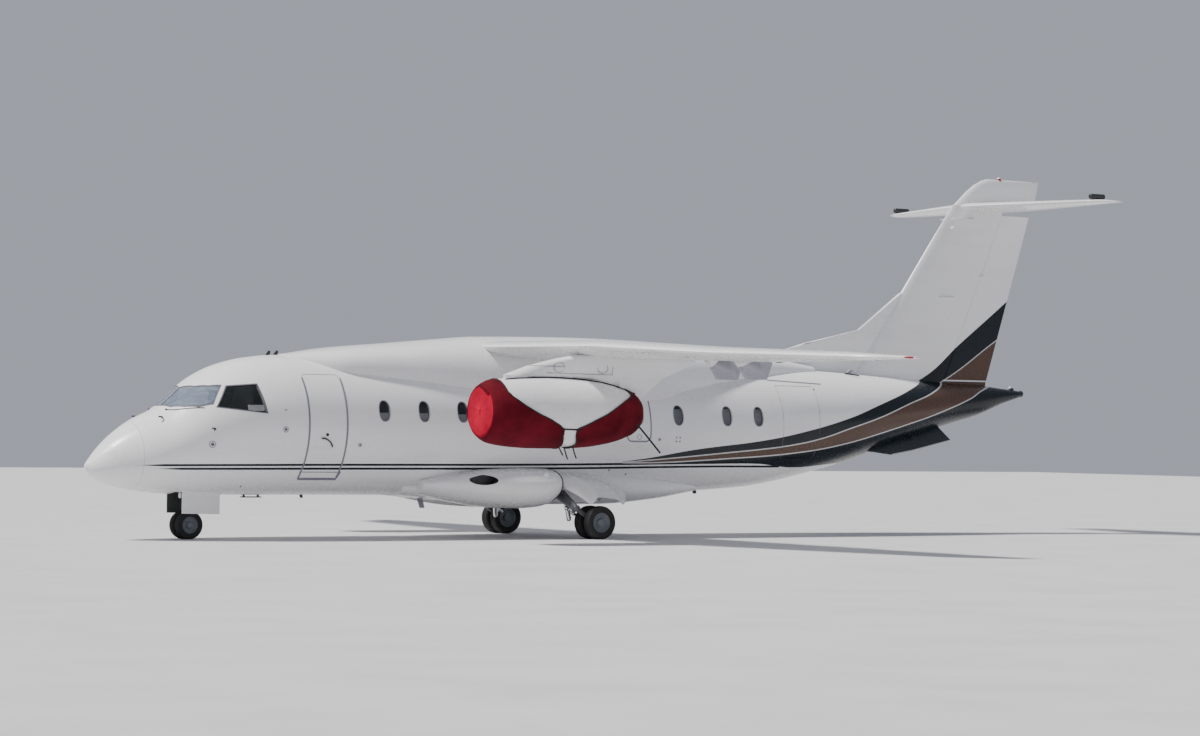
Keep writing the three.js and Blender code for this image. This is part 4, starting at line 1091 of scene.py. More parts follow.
# Cabin windows: a near-black lining behind them as painted shade of the cabin, then panes, blinds, frames,
# and the lines of the exit hatch
lining = bodyCore(windows["liningDepth"], 4.57, 13.05, 0.4)
piece(smooth(lining), "cabinLining", shadedCabinLining)
windowOutlines = [ovalOutline(noseX + s, windows["level"], windows["width"], windows["height"])
                  for s in windows["stations"]]
glazing = bodyShell(spaced(4.9, 13.7, 0.3), -windows["paneDepth"])
thicken(glazing, windows["pane"])
cut(glazing, joined([prism(outline, -1.5, 1.5) for outline in windowOutlines]), "INTERSECT")
piece(smooth(glazing), "cabinWindowPanes", windowGlass)
blinds = bodyShell(spaced(4.9, 13.7, 0.3), -windows["blindDepth"])
thicken(blinds, windows["blind"])
slats = [block((noseX + s - 0.12, -1.5, windows["level"] - 0.2),
               (noseX + s + 0.12, 1.5, windows["level"] - 0.18 + height))
         for s, height in zip(windows["stations"], windows["blinds"])]
cut(blinds, joined(slats), "INTERSECT")
piece(smooth(blinds), "windowBlinds", blindCloth)
for side, sign in sides:
    frames = [onFlank(band(insetOutline(outline, -windows["frame"]), windows["frame"], -0.002, 0.003), sign)
              for outline in windowOutlines]
    piece(smooth(joined(frames), 50), f"windowFrames_{side}", frameGrey)
    station, level = exitHatch["handle"]
    handle = ovalOutline(noseX + station, level, exitHatch["handleSize"], exitHatch["handleSize"], 24, 1)
    seams = [onFlank(band(frameOutline(exitHatch), exitHatch["line"], -0.002, 0.0025), sign),
             onFlank(band(handle, exitHatch["handleLine"], -0.002, 0.003), sign)]
    piece(smooth(joined(seams), 50), f"exitSeams_{side}", seamGrey)

# Flight deck windows: seals, wipers, placard
deckTrim = {"seal": 0.018, "sealGap": 0.016, "wiperRadius": 0.006, "pivot": (0.022, 0.022, 0.016),
            # station, y, height over the glass
            "wiper": [(1.35, 0.34, 0.012), (1.395, 0.46, 0.018), (1.52, 0.605, 0.020), (1.68, 0.745, 0.018),
                      (1.83, 0.845, 0.014)],
            "placard": (2.55, 2.84, 2.252, 2.356), "placardDepth": (-0.034, -0.030)}


def deckSeal(outline):
    moved = [(noseX + a, b) for a, b in insetOutline(outline, -deckTrim["sealGap"])]
    return band(moved, deckTrim["seal"], -0.004, 0.003)


for side, sign in sides:
    seals = [onTop(deckSeal(panes["windshield"]), sign), onFlank(deckSeal(panes["side"]), sign)]
    piece(smooth(joined(seals), 50), f"windscreenSeals_{side}", sealRubber)
    path = [Vector((noseX + s, sign * y, bodyTop(s, y) + lift)) for s, y, lift in deckTrim["wiper"]]
    wiper = joined([wire(path, deckTrim["wiperRadius"]), ball(path[0], deckTrim["pivot"], 16, 8)])
    piece(smooth(wiper, 50), f"wiper_{side}", blackPaint)
    front, aft, low, high = deckTrim["placard"]
    outline = resampled(roundedOutline(noseX + front, noseX + aft, low, high, 0.01, 2))
    placard = onFlank(prism(outline, *deckTrim["placardDepth"]), sign)
    piece(placard, f"windowPlacard_{side}", placardWhite)
print("windows made")

# Passenger door: seal, sill line, handle; gutter over the baggage door
doorTrim = {"seal": 0.028,
            "handle": [(3.92, 1.780), (3.99, 1.775), (4.06, 1.745), (4.12, 1.695), (4.155, 1.63)],
            "handleRadius": 0.013, "handleLift": 0.022, "button": (4.036, 1.845), "buttonRadius": 0.026,
            "line": 1.19, "lineWidth": 0.016, "sillWidth": 0.024,
            "sill": [(3.648, 1.20), (3.672, 1.12), (3.690, 1.046), (4.444, 1.046), (4.462, 1.12),
                     (4.478, 1.20)],
            "gutter": (13.868, 15.145), "gutterLevel": 2.985, "gutterSlope": 0.042}
seal = onFlank(band(frameOutline(door, doorTrim["seal"]), doorTrim["seal"] - 0.002, -0.004, 0.005), -1)
cut(seal, block((noseX + 3.5, -1.5, 2.84), (noseX + 4.6, 0, 3.2)))
piece(smooth(seal, 50), "doorSeal", seamGrey)
sill = onFlank(band([(noseX + s, z) for s, z in doorTrim["sill"]], doorTrim["sillWidth"], -0.003, 0.005), -1)
cut(sill, block((noseX + 3.684, -1.5, 1.076), (noseX + 4.426, 0, 1.5)))
piece(smooth(sill, 50), "doorSillTrim", seamGrey)
level = doorTrim["line"]
line = [Vector((noseX + s, -bodySide(s, level) - 0.002, level)) for s in spaced(3.705, 4.405, 0.05)]
handlePath = [Vector((noseX + s, -bodySide(s, z) - doorTrim["handleLift"], z)) for s, z in doorTrim["handle"]]
button = Vector((noseX + doorTrim["button"][0], -bodySide(*doorTrim["button"]), doorTrim["button"][1]))
parts = [wire(curved(handlePath, 4), doorTrim["handleRadius"]),
         ribbon(line, (0, 0, 1), doorTrim["lineWidth"], 0.004),
         rod(button, button + Vector((0, -0.014, 0.002)), doorTrim["buttonRadius"])]
piece(smooth(joined(parts), 50), "doorHandle", blackPaint, "passenger_door")
start, end = doorTrim["gutter"]
gutterLevels = [(s, doorTrim["gutterLevel"] - (s - start) * doorTrim["gutterSlope"])
                for s in spaced(start, end, 0.08)]
gutter = [Vector((noseX + s, -bodySide(s, z) - 0.006, z)) for s, z in gutterLevels]
piece(smooth(ribbon(gutter, (0, -0.5, 1), 0.016, 0.012)), "rainGutter", frameGrey)

# Ports, drains, probes and antennas
trim = {
    # station, level, radius or reach
    "ports": [(3.219, 1.929, 0.055), (4.710, 1.671, 0.040), (1.900, 1.657, 0.062), (11.068, 1.824, 0.035)],
    "probes": [(1.209, 2.100, 0.075), (1.93, 1.900, 0.11)],
    "drains": [(11.45, 1.865), (11.53, 1.865), (11.45, 1.79), (11.53, 1.79), (10.113, 1.249), (10.528, 1.175),
               (2.68, 0.93), (14.905, 2.82), (3.228, 2.265)],
    "drainSize": 0.030, "probeRadius": 0.013, "probeTip": 0.09,
    "roofBlade": [(-0.05, -0.02), (0.06, -0.02), (0.075, 0.075), (0.03, 0.08)],
    "roofStations": (3.457, 3.612),
    # station, level, chord, drop, sweep
    "bellyBlade": (6.53, 0.775, 0.13, 0.245, 0.10),
    "bellyFins": [(12.66, 0.86, 0.10, 0.07, 0.03), (12.42, 0.845, 0.05, 0.04, 0.01),
                  (4.14, 0.775, 0.07, 0.06, 0.03)],
    "rail": (2.996, 3.369, 0.06), "railLevels": (0.722, 0.742), "railPosts": (3.03, 3.31), "postTop": 0.79,
    "aftBlade": [(0, -0.03), (0.11, -0.03), (0.22, 0.085), (0.11, 0.10)], "aftPlace": (16.12, 0.24),
    "aftLean": 0.4,
    "aftRod": [(0.0, -0.02, 0.01), (0.10, -0.10, 0.0), (0.22, -0.20, -0.03)],
}
for side, sign in sides:
    rings = [onFlank(band(ovalOutline(noseX + s, z, 2 * r, 2 * r, 28, 1), r * 0.3, -0.002, 0.004), sign)
             for s, z, r in trim["ports"]]
    piece(smooth(joined(rings), 50), f"bodyPorts_{side}", frameGrey)
    holes = [onFlank(prism(ovalOutline(noseX + s, z, r * 0.9, r * 0.9, 16, 1), -0.002, 0.006), sign)
             for s, z, r in trim["ports"]]
    size = trim["drainSize"]
    holes += [onFlank(prism(ovalOutline(noseX + s, z, size, size, 12, 1), -0.002, 0.005), sign)
              for s, z in trim["drains"]]
    piece(smooth(joined(holes), 50), f"bodyDrains_{side}", sealRubber)
    probes = []
    for s, z, reach in trim["probes"]:
        root = Vector((noseX + s, sign * bodySide(s, z), z))
        out = root + Vector((0.0, sign * reach * 0.8, reach * 0.3))
        points = [root, root.lerp(out, 0.6), out, out + Vector((-trim["probeTip"], 0, 0))]
        probes.append(wire(points, trim["probeRadius"]))
    piece(smooth(joined(probes), 50), f"airProbes_{side}", blackPaint)
roof = [fin(trim["roofBlade"], 0.014, (noseX + s, 0, bodyTop(s, 0))) for s in trim["roofStations"]]
piece(joined(roof), "roofAntennas", blackPaint)


def bellyAntenna(station, level, chord, drop, sweep):
    outline = [(0, 0.02), (chord, 0.02), (chord * 0.8 + sweep, -drop), (sweep, -drop)]
    return fin(outline, 0.016, (noseX + station, 0, level))


piece(bellyAntenna(*trim["bellyBlade"]), "bellyBlade", frameGrey)
front, aft, half = trim["rail"]
low, high = trim["railLevels"]
bellyParts = [bellyAntenna(*row) for row in trim["bellyFins"]]
bellyParts.append(block((noseX + front, -half, low), (noseX + aft, half, high), 0.006))
bellyParts += [block((noseX + s, -0.02, 0.735), (noseX + s + 0.03, 0.02, trim["postTop"]), 0.004)
               for s in trim["railPosts"]]
piece(joined(bellyParts), "bellyAntennas", blackPaint)
station, offset = trim["aftPlace"]
mast = Vector((noseX + station, -offset, bodyTop(station, offset) - 0.005))
blade = fin(trim["aftBlade"], 0.022, mast, (trim["aftLean"], 0, 0))
# The blade is white in fact; its grey is painted shade that sets it off from the body
piece(smooth(blade, 50), "aftAerial", frameGrey)
whip = wire([mast + Vector(step) for step in trim["aftRod"]], 0.013)
piece(smooth(whip, 50), "aftAerialRod", blackPaint)
print("trim made")

# Fin, tailplane and tail details
tail = {
    "strake": (18.90, 19.47), "strakeLevels": (6.325, 6.337), "strakeSides": ((-0.24, -0.09), (0.09, 0.24)),
    # station, y, level, radii, segments, rings
    "scoops": [(18.78, 0.140, 4.735, (0.21, 0.045, 0.024), 32, 12),
               (19.72, 0.102, 5.185, (0.09, 0.03, 0.03), 24, 12),
               (18.95, 0.115, 6.14, (0.05, 0.03, 0.04), 24, 12),
               (20.47, 0.035, 5.99, (0.05, 0.012, 0.014), 16, 8),
               (20.40, 0.035, 5.81, (0.05, 0.012, 0.014), 16, 8)],
    "beacon": (20.23, 7.185), "beaconSize": (0.047, 0.047, 0.052), "beaconFoot": 0.05,
    "weight": (19.985, 20.32, 3.06, 6.694), "weightRadius": 0.054,
    # station, level, radii
    "coneLumps": [(20.62, 2.905, (0.06, 0.05, 0.055)), (20.865, 2.83, (0.065, 0.066, 0.068))],
    "lamp": (20.59, 2.950, (0.035, 0.03, 0.03)),
}
front, aft = (noseX + station for station in tail["strake"])
low, high = tail["strakeLevels"]
fittings = [block((front, y0, low), (aft, y1, high), 0.003) for y0, y1 in tail["strakeSides"]]
for _, sign in sides:
    fittings += [ball((noseX + s, sign * y, z), radii, segments, rings)
                 for s, y, z, radii, segments, rings in tail["scoops"]]
piece(smooth(joined(fittings), 50), "finFittings", whitePaint)
beaconX, beaconLevel = noseX + tail["beacon"][0], tail["beacon"][1]
foot = rod((beaconX, 0, beaconLevel - 0.055), (beaconX, 0, beaconLevel - 0.005), tail["beaconFoot"])
beacon = joined([ball((beaconX, 0, beaconLevel), tail["beaconSize"]), foot])
piece(smooth(beacon, 50), "topBeacon", redLens)
front, aft, y, level = tail["weight"]
radius = tail["weightRadius"]
weight = joined([rod((noseX + front, -y, level), (noseX + aft, -y, level), radius, radius, 32),
                 ball((noseX + front, -y, level), (0.03, radius, radius))])
onBothSides(smooth(weight, 50), "hornWeight", blackPaint)
cone = joined([ball((noseX + s, 0, z), radii) for s, z, radii in tail["coneLumps"]])
piece(smooth(cone, 50), "tailConeLumps", navyPaint)
station, level, radii = tail["lamp"]
piece(smooth(ball((noseX + station, 0, level), radii), 50), "tailLamp", clearLens)
print("tail details made")

# Wing, sponson and pylon details; points are station, y and level
wing = {
    "lens": (9.545, 10.462, 3.221), "lensSize": (0.13, 0.030, 0.020),
    "wickSides": (7.4, 8.3, 9.2), "wick": ((9.78, 3.20), (9.90, 3.19)),
    "whipSide": 5.5, "whip": [(9.50, 3.27), (9.53, 3.34), (9.60, 3.38), (9.70, 3.395)], "whipRadius": 0.007,
    "vent": (9.71, 6.72, 3.19), "ventSize": (0.09, 0.03, 0.02),
    "lamp": (8.471, 1.395, 1.135), "lampSize": (0.075, 0.062, 0.062),
    "pylonHalf": 0.146, "seamRadius": 0.004,
    "pylonLines": [((6.63, 3.09), (7.05, 3.085), (7.45, 3.08)), ((7.0, 2.97), (7.7, 2.962), (8.36, 2.956)),
                   ((8.36, 2.956), (8.37, 3.0), (8.38, 3.10))],
    "pylonHatches": (7.25, 8.16), "hatchLevel": 3.07, "hatchSize": (0.11, 0.09),
}


def placed(point, sign):
    return (noseX + point[0], sign * point[1], point[2])


for side, sign in sides:
    lens = redLens if side == "left" else greenLens
    tip = ball(placed(wing["lens"], sign), wing["lensSize"], 32, 12)
    piece(smooth(tip, 50), f"wingTipLens_{side}", lens)
    (s0, z0), (s1, z1) = wing["wick"]
    wicks = [rod((noseX + s0, sign * y, z0), (noseX + s1, sign * y, z1), 0.004, 0.002, 8)
             for y in wing["wickSides"]]
    piece(joined(wicks), f"aileronWicks_{side}", blackPaint, f"aileron_{side}")
    whip = wire([(noseX + s, sign * wing["whipSide"], z) for s, z in wing["whip"]], wing["whipRadius"])
    piece(smooth(whip, 50), f"wingWhip_{side}", blackPaint, f"flap_outer_{side}")
    vent = ball(placed(wing["vent"], sign), wing["ventSize"], 24, 12)
    piece(smooth(vent, 50), f"wingVent_{side}", blackPaint)
    dome = ball(placed(wing["lamp"], sign), wing["lampSize"])
    piece(smooth(dome, 50), f"sponsonLamp_{side}", clearLens)
    wall = nacelle["y"] + wing["pylonHalf"]
    lines = [wire([(noseX + s, sign * wall, z) for s, z in path], wing["seamRadius"])
             for path in wing["pylonLines"]]
    width, height = wing["hatchSize"]
    turns = [math.tau * i / 16 for i in range(17)]
    for s in wing["pylonHatches"]:
        ring = [(noseX + s + width * math.cos(a), sign * (wall + 0.002),
                 wing["hatchLevel"] + height * math.sin(a)) for a in turns]
        lines.append(wire(ring, wing["seamRadius"]))
    piece(joined(lines), f"pylonSeams_{side}", sealRubber)
print("wing details made")

# Engine covers: cloth stretched over the nacelles, laced, with straps; an edge is rows of level and station
cover = {
    "lift": 0.013, "fold": 0.006, "cloth": 0.003, "sag": 0.014, "steps": 144, "skirt": 34, "gather": 0.16,
    "frontEdge": [(3.40, 6.005), (2.766, 6.011), (2.63, 6.021), (2.542, 6.086), (2.388, 6.306),
                  (2.256, 6.559), (2.147, 6.833), (2.058, 7.012), (1.991, 7.117), (1.877, 7.145),
                  (1.716, 7.251), (1.20, 7.290)],
    "rearEdge": [(3.40, 8.700), (2.652, 8.665), (2.546, 8.415), (2.461, 8.254), (2.311, 7.993),
                 (2.203, 7.759), (2.096, 7.556), (2.063, 7.453), (2.017, 7.385), (1.903, 7.409),
                 (1.742, 7.524), (1.20, 7.570)],
    "frontFlat": (3.95, 1.95), "frontArea": 3.90, "rearFlat": (3.60, 1.80), "rearArea": 3.25,
    # station and radius of the nacelle's outside, of the front disc and of the rear bag
    "outer": nacelle["profile"][2:16],
    "disc": [(5.742, 0.0), (5.742, 0.06), (5.742, 0.12), (5.742, 0.20), (5.743, 0.28), (5.744, 0.34),
             (5.746, 0.40), (5.754, 0.436), (5.772, 0.458), (5.800, 0.478), (5.835, 0.502)],
    "bag": [(8.976, 0.0), (8.978, 0.12), (8.978, 0.19), (8.965, 0.250), (8.935, 0.296), (8.89, 0.335),
            (8.84, 0.362)],
    # the station where the painted sunlit red of the front disc stops
    "skirtStart": 5.88, "bagStart": 8.80, "sunlitEnd": 5.758, "binding": 0.011,
    "piping": (5.750, 0.428, 0.006),  # station, radius, thickness
}
straps = {
    "grab": [(5.738, 0.0, 2.725), (5.722, 0.10, 2.70), (5.720, 0.2, 2.65), (5.738, 0.29, 2.585)],
    "grabWidth": 0.050,
    "top": (6.16, 8.84), "topOffset": 0.150, "topWave": 0.012, "width": 0.030,
    "bridge": (7.06, 7.46), "bridgeAngle": -28, "bridgeMiddle": 7.10,
    "loose": [(7.30, 0.13), (7.40, 0.20), (7.58, 0.19)], "looseWidth": 0.026,  # station and how far it hangs
    "long": (8.735, 0.350, 2.11), "longWidth": 0.034,
    "longSteps": [(0.10, 0, -0.085), (0.30, -0.02, -0.27), (0.555, -0.04, -0.515)],
}
nacelleAt = smoothTable(cover["outer"])


def nacelleRadius(station):
    return nacelleAt(station)[0]


# The station at which the slanting edge crosses the nacelle at this angle
def edgeStation(edge, angle):
    station = edge[5][1]
    for _ in range(40):
        z = nacelle["z"] + (nacelleRadius(min(station, 8.8)) + cover["lift"]) * math.sin(angle)
        k = 0
        while k < len(edge) - 2 and edge[k + 1][0] > z:
            k += 1
        (z0, s0), (z1, s1) = edge[k], edge[k + 1]
        station = 0.5 * station + 0.5 * (s0 + (s1 - s0) * (z - z0) / (z1 - z0))
    return station


# Half the width of the rear cover's slot for the pylon
def slotHalf(station):
    return 0.0 if station > 8.95 else max(0.058, 0.095 - 0.1 * max(0.0, station - 8.6))


def clothCover(sign, edge, start, closedEnd, aftSide):
    y = sign * nacelle["y"]
    steps, skirt = cover["steps"], cover["skirt"]
    edges = [edgeStation(edge, math.pi / 2 + math.tau * v / steps) for v in range(steps + 1)]

    def pointAt(u, v):
        if u < len(closedEnd):
            station, radius = closedEnd[u]
        else:
            share = (u - len(closedEnd)) / skirt
            station = start + (edges[v] - start) * share
            radius = nacelleRadius(station) + cover["lift"]
        opening = math.asin(min(1.0, slotHalf(station) / radius)) if aftSide and radius > 0.26 else 0.0
        angle = math.pi / 2 + opening + (math.tau - 2 * opening) * v / steps
        c, s = math.cos(angle), math.sin(angle)
        ripple = noise.noise(Vector((station * 1.7, 2.6 * c, 2.6 * s)))
        crease = noise.noise(Vector((station * 5 + angle * 2.2, 6 * c, 6 * s + station * 4)))
        gather = math.sin(angle * 37 + 5 * ripple) * math.exp(-((station - edges[v]) / cover["gather"]) ** 2)
        if radius > 0.36:
            drop = max(0.0, -s) ** 2 * cover["sag"]
            radius += cover["fold"] * (ripple + 0.6 * crease + 0.35 * gather) + drop
        else:
            station += (0.010 * ripple + 0.004 * crease) * (1 - radius / 0.45)
        return Vector((noseX + station, y + sign * radius * c, nacelle["z"] + radius * s))
    return gridLoft(len(closedEnd) + skirt, steps, pointAt, not aftSide)


# A cord along the open edges of the cloth
def edgeBinding(obj, radius):
    only(obj)
    bpy.ops.object.duplicate()
    bpy.ops.object.mode_set(mode="EDIT")
    bpy.ops.mesh.select_mode(type="EDGE")
    bpy.ops.mesh.select_all(action="DESELECT")
    bpy.ops.mesh.select_non_manifold()
    bpy.ops.mesh.select_all(action="INVERT")
    bpy.ops.mesh.delete(type="EDGE_FACE")
    bpy.ops.mesh.select_mode(type="VERT")
    bpy.ops.mesh.select_all(action="SELECT")
    bpy.ops.mesh.delete_loose(use_verts=True, use_edges=False, use_faces=False)
    leaveEdit()
    bpy.ops.object.convert(target="CURVE")
    bpy.context.object.data.bevel_depth = radius
    bpy.context.object.data.bevel_resolution = 2
    bpy.ops.object.convert(target="MESH")
    return weld(bpy.context.object)


for side, sign in sides:
    y = sign * nacelle["y"]
    front = clothCover(sign, cover["frontEdge"], cover["skirtStart"], cover["disc"], False)
    rear = clothCover(sign, cover["rearEdge"], cover["bagStart"], cover["bag"], True)
    covers = ((front, "intake", cover["frontFlat"], cover["frontArea"]),
              (rear, "exhaust", cover["rearFlat"], cover["rearArea"]))
    for cloth, kind, flat, area in covers:
        binding = edgeBinding(cloth, cover["binding"])
        thicken(weld(cloth), cover["cloth"])
        piece(smooth(cloth, 60), f"{kind}Cover_{side}", None,
              standsFor=[f"{kind}_cover_{side}"])
        cloth.data.materials.clear()
        cloth.data.materials.append(shadedCoverRed)
        cloth.data.materials.append(sunlitCoverRed)
        # Faces ahead of that station on the front cover get the brighter red as painted sunlight; the rest
        # keeps the darker copy as painted shade
        if cloth == front:
            for face in cloth.data.polygons:
                if face.center.x < noseX + cover["sunlitEnd"]:
                    face.material_index = 1
        piece(smooth(binding, 60), f"{kind}CoverBinding_{side}", webbing)
    station, radius, thickness = cover["piping"]
    bpy.ops.mesh.primitive_torus_add(
        location=(noseX + station, y, nacelle["z"]), rotation=(0, math.pi / 2, 0),
        major_radius=radius, minor_radius=thickness, major_segments=96, minor_segments=8)
    piece(smooth(bpy.context.object, 60), f"coverPiping_{side}", shadedCoverRed)
    grab = ribbon(curved([(noseX + s, y + sign * out, z) for s, out, z in straps["grab"]]), (0, 0, 1),
                  straps["grabWidth"], 0.006)
    piece(smooth(grab, 50), f"coverGrab_{side}", shadedCoverRed)
    top = []
    for s in spaced(*straps["top"], 0.12):
        offset = straps["topOffset"] + straps["topWave"] * math.sin(s * 5)
        rise = math.sqrt((nacelleRadius(s) + 0.006) ** 2 - offset ** 2)
        top.append((noseX + s, y + sign * offset, nacelle["z"] + rise))
    ribbons = [ribbon(top, (0, 1, 0), straps["width"], 0.020)]
    bridge = []
    for s in spaced(*straps["bridge"], 0.05):
        angle = math.radians(straps["bridgeAngle"] - 3 * (s - straps["bridgeMiddle"]))
        radius = nacelleRadius(s) + 0.022
        bridge.append((noseX + s, y + sign * radius * math.cos(angle),
                       nacelle["z"] + radius * math.sin(angle)))
    ribbons.append(ribbon(bridge, (0, -0.5 * sign, 1), straps["width"], 0.004))
    for s, drop in straps["loose"]:
        start = Vector((noseX + s, y + sign * 0.12, nacelle["z"] - nacelleRadius(s) - 0.016))
        steps = ((-0.02, 0, 0.01), (0.0, 0, -0.02), (0.025, 0, -0.5 * drop), (0.06, sign * 0.01, -drop))
        hang = curved([start + Vector(step) for step in steps], 5)
        ribbons.append(ribbon(hang, (1, 0, 0.2), straps["looseWidth"], 0.004))
    station, out, level = straps["long"]
    start = Vector((noseX + station, y + sign * out, level))
    hang = curved([start] + [start + Vector((dx, sign * dy, dz)) for dx, dy, dz in straps["longSteps"]], 6)
    ribbons.append(ribbon(hang, (0.6, 0, 0.8), straps["longWidth"], 0.005))
    piece(smooth(joined(ribbons), 50), f"coverStraps_{side}", webbing)
print("covers made")

# Wheels and tyres: tread and rim are rows of half width and radius, as shares of the wheel's
wheels = {"nose": {"radius": 0.2475, "width": 0.145, "spread": 0.1075, "x": -8.71, "y": 0.0},
          "main": {"radius": 0.305, "width": 0.190, "spread": 0.158, "x": -1.26, "y": 1.61},
          "tread": [(0.58, 0.565), (0.66, 0.575), (0.80, 0.610), (0.92, 0.68), (0.985, 0.75), (1.0, 0.81),
                    (0.97, 0.88), (0.90, 0.935), (0.80, 0.968), (0.70, 0.982), (0.56, 0.990), (0.54, 0.968),
                    (0.47, 0.968), (0.45, 0.994), (0.20, 0.999), (0.18, 0.972), (0.11, 0.972), (0.09, 1.0)],
          "rim": [(1.06, 0.0), (1.04, 0.20), (0.80, 0.23), (0.35, 0.27), (0.35, 0.42), (0.62, 0.50),
                  (1.05, 0.535), (1.20, 0.560), (1.22, 0.590), (1.08, 0.592), (1.00, 0.562), (0.92, 0.558)],
          "rimWidth": 0.31, "bolts": 8, "boltCircle": 0.345, "boltRadius": 0.011, "axle": 0.032}


def wheelProfile(rows, size, half, y):
    right = [(y + w * half, r * size["radius"]) for w, r in rows]
    left = [(y - w * half, r * size["radius"]) for w, r in reversed(rows)]
    return right + left


def tyreRing(size, y):
    profile = wheelProfile(wheels["tread"], size, size["width"] / 2, y)
    return smooth(spun(profile + profile[:1], (size["x"], y, size["radius"]), "Y", 96), 30)


def hub(size, y):
    half = size["width"] * wheels["rimWidth"]
    parts = [spun(wheelProfile(wheels["rim"], size, half, y), (size["x"], y, size["radius"]), "Y", 64)]
    for i in range(wheels["bolts"]):
        angle = math.tau * i / wheels["bolts"]
        x = size["x"] + wheels["boltCircle"] * size["radius"] * math.cos(angle)
        z = size["radius"] + wheels["boltCircle"] * size["radius"] * math.sin(angle)
        parts.append(rod((x, y - half * 0.55, z), (x, y + half * 0.55, z), wheels["boltRadius"],
                         wheels["boltRadius"], 8))
    return smooth(joined(parts), 30)


def wheelPair(size, y, name, node, tyreNames, rides):
    low, high = y - size["spread"], y + size["spread"]
    axle = rod((size["x"], low, size["radius"]), (size["x"], high, size["radius"]), wheels["axle"])
    piece(joined([hub(size, low), hub(size, high), axle]), name, hubPaint, rides, [node])
    for middle, tyreNode in zip((low, high), tyreNames):
        piece(tyreRing(size, middle), "tread_" + tyreNode, tyreRubber, rides, [tyreNode])


wheelPair(wheels["nose"], wheels["nose"]["y"], "noseHubs", "nose_wheels",
          ("nose_tyre_left", "nose_tyre_right"), "nose_wheel_pair")
for side, sign in sides:
    tyres = [f"main_tyre_{place}_{side}" for place in ("outer", "inner")]
    wheelPair(wheels["main"], sign * wheels["main"]["y"], f"mainHubs_{side}", f"main_wheels_{side}",
              tyres[::-sign], f"main_wheel_pair_{side}")

# Nose leg: rods are start, end and radius, blocks are two corners and a bevel
noseLeg = {
    "strut": [((-8.71, 0, 0.642), (-8.71, 0, 1.08), 0.056), ((-8.71, 0, 0.642), (-8.71, 0, 0.70), 0.062),
              ((-8.71, 0, 0.80), (-8.71, 0, 0.86), 0.068), ((-8.71, 0, 0.82), (-8.28, 0, 1.06), 0.022)],
    "strutFoot": ((-8.30, -0.08, 1.03), (-8.24, 0.08, 1.084), 0.008),
    "crossPin": ((-8.71, -0.13, 0.93), (-8.71, 0.13, 0.93), 0.026),
    "plate": ((-8.775, -0.05, 0.86), (-8.755, 0.05, 0.96), 0.004),
    "lamp": [((-8.84, 0, 0.76), (-8.775, 0, 0.76), 0.052, 0.040),
             ((-8.79, 0, 0.76), (-8.70, 0, 0.76), 0.014)],
    "slider": [((-8.71, 0, 0.50), (-8.71, 0, 0.638), 0.040), ((-8.71, 0, 0.600), (-8.71, 0, 0.638), 0.054)],
    "fork": ((-8.752, -0.022, 0.252), (-8.668, 0.022, 0.53), 0.01),
    "eyeHalf": 0.024, "eyeRadius": 0.048, "boreRadius": 0.034,
    "links": [((-8.668, 0, 0.60), (-8.60, 0, 0.545), 0.012), ((-8.60, 0, 0.545), (-8.672, 0, 0.44), 0.012)],
}


def axleRod(half, radius):
    x, level = wheels["nose"]["x"], wheels["nose"]["radius"]
    return rod((x, -half, level), (x, half, level), radius)


strut = [rod(*row) for row in noseLeg["strut"]]
strut += [block(*noseLeg["strutFoot"]), rod(*noseLeg["crossPin"]), block(*noseLeg["plate"])]
piece(smooth(joined(strut), 40), "noseLegTube", whitePaint, standsFor=["nose_leg"])
lamp = joined([rod(*row) for row in noseLeg["lamp"]])
piece(smooth(lamp, 40), "taxiLamp", clearLens)
fork = [rod(*row) for row in noseLeg["slider"]]
for part in (block(*noseLeg["fork"]), axleRod(noseLeg["eyeHalf"], noseLeg["eyeRadius"])):
    fork.append(cut(part, axleRod(0.05, noseLeg["boreRadius"])))
fork += [rod(*row) for row in noseLeg["links"]]
piece(smooth(joined(fork), 40), "noseFork", bareMetal, "nose_steering_fork", ["nose_fork"])

# Main legs: the frame's arm, with cylinders, knuckles and hoses
mainLeg = {
    "cylinders": [((-1.67, 1.20, 0.78), (-1.62, 1.25, 0.46), 0.034, 0.030),
                  ((-1.62, 1.25, 0.50), (-1.60, 1.27, 0.36), 0.044, 0.044),
                  ((-1.60, 1.26, 0.50), (-1.44, 1.30, 0.42), 0.028, 0.028)],
    "knuckles": [((-1.60, 1.265, 0.36), (0.046, 0.040, 0.046)), ((-1.64, 1.25, 0.56), (0.046, 0.040, 0.046)),
                 ((-1.52, 1.29, 0.46), (0.040, 0.036, 0.040))],
    "hoses": [([(-1.70, 1.10, 0.86), (-1.72, 1.22, 0.70), (-1.66, 1.32, 0.56), (-1.60, 1.335, 0.50)], 0.007),
              ([(-1.66, 1.16, 0.84), (-1.60, 1.28, 0.72), (-1.56, 1.335, 0.58)], 0.006)],
}


def mirrored(point, sign):
    return (point[0], sign * point[1], point[2])


for side, sign in sides:
    # The arm takes the very dark grey, which is painted shade
    leg = dressed(f"main_leg_{side}", 35)
    piece(leg, f"mainLegArm_{side}", legShadeGrey, standsFor=[f"main_leg_{side}"])
    hydraulics = [rod(mirrored(start, sign), mirrored(end, sign), *radii)
                  for start, end, *radii in mainLeg["cylinders"]]
    hydraulics += [ball(mirrored(centre, sign), radii, 24, 12) for centre, radii in mainLeg["knuckles"]]
    piece(smooth(joined(hydraulics), 40), f"gearCylinders_{side}", oleoChrome)
    hoses = [wire([mirrored(point, sign) for point in path], radius) for path, radius in mainLeg["hoses"]]
    piece(smooth(joined(hoses), 50), f"gearHoses_{side}", darkRubber)

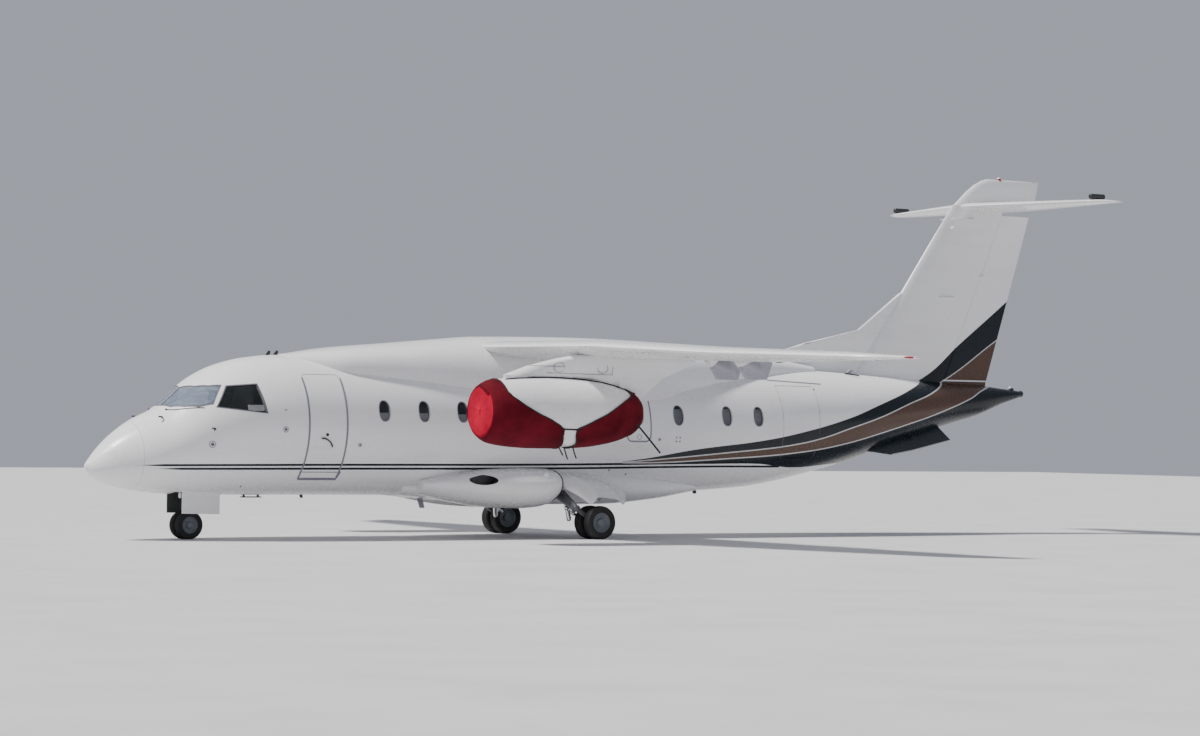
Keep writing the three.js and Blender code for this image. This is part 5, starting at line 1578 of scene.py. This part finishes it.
# Fenders over the outer main wheels
gearDoor = {
    # station, inner level, shoulder y, shoulder level, lip y, lip level
    "rows": [(8.84, 1.150, 1.18, 1.08, 1.44, 0.900), (9.02, 1.175, 1.33, 1.05, 1.64, 0.760),
             (9.15, 1.186, 1.42, 1.02, 1.76, 0.636), (9.18, 1.190, 1.45, 1.01, 1.79, 0.612),
             (9.215, 1.192, 1.47, 1.007, 1.81, 0.640), (9.29, 1.195, 1.50, 1.00, 1.85, 0.752),
             (9.50, 1.190, 1.52, 0.985, 1.87, 0.742), (9.73, 1.170, 1.50, 0.960, 1.87, 0.706),
             (9.85, 1.150, 1.48, 0.930, 1.85, 0.620), (10.06, 1.090, 1.38, 0.880, 1.60, 0.760)],
    "root": 0.84, "wall": 0.022, "steps": 14, "lift": 0.026}
gearDoorAt = smoothTable(gearDoor["rows"])


# The place at share t on a curve through start, middle and end
def bent(start, middle, end, t):
    return (1 - t) ** 2 * start + 2 * t * (1 - t) * (2 * middle - (start + end) / 2) + t * t * end


for side, sign in sides:
    stations = spaced(gearDoor["rows"][0][0], gearDoor["rows"][-1][0], 0.03)

    def fenderPoint(u, v):
        inLevel, midY, midLevel, lipY, lipLevel = gearDoorAt(stations[u])
        t = v / gearDoor["steps"]
        out, up = bent(gearDoor["root"], midY, lipY, t), bent(inLevel, midLevel, lipLevel, t)
        return Vector((noseX + stations[u], sign * out, up + gearDoor["lift"]))
    fender = gridLoft(len(stations) - 1, gearDoor["steps"], fenderPoint, False)
    if fender.data.polygons[0].normal.z < 0:
        editAll(fender)
        bpy.ops.mesh.flip_normals()
        leaveEdit()
    thicken(fender, gearDoor["wall"])
    piece(smooth(fender, 40), f"mainGearDoor_{side}", whitePaint,
          standsFor=[f"main_gear_door_{side}"])
print("gear made")

# Stage
bpy.ops.mesh.primitive_plane_add(size=light["floorSize"], location=(0, 0, 0))
floor = bpy.context.object
floor.name = "studioFloor"
floorPaint = plainMaterial("floorPaint", (0.62, 0.61, 0.62), 0.7, grain=0.6, change=0.03, depth=0.0002)
floor.data.materials.append(floorPaint)
world = bpy.data.worlds.new("studioWorld")
bpy.context.scene.world = world
world.use_nodes = True
world.node_tree.nodes["Background"].inputs[0].default_value = (*light["skyColor"], 1)
world.node_tree.nodes["Background"].inputs[1].default_value = light["skyPower"]
sunData = bpy.data.lights.new("softSun", "SUN")
sunData.energy = light["sunPower"]
sunData.angle = math.radians(light["sunAngle"])
sunData.color = light["sunColor"]
sun = bpy.data.objects.new("softSun", sunData)
bpy.context.scene.collection.objects.link(sun)
sun.rotation_euler = Vector(light["sunFrom"]).to_track_quat("Z", "Y").to_euler()
print("stage made")
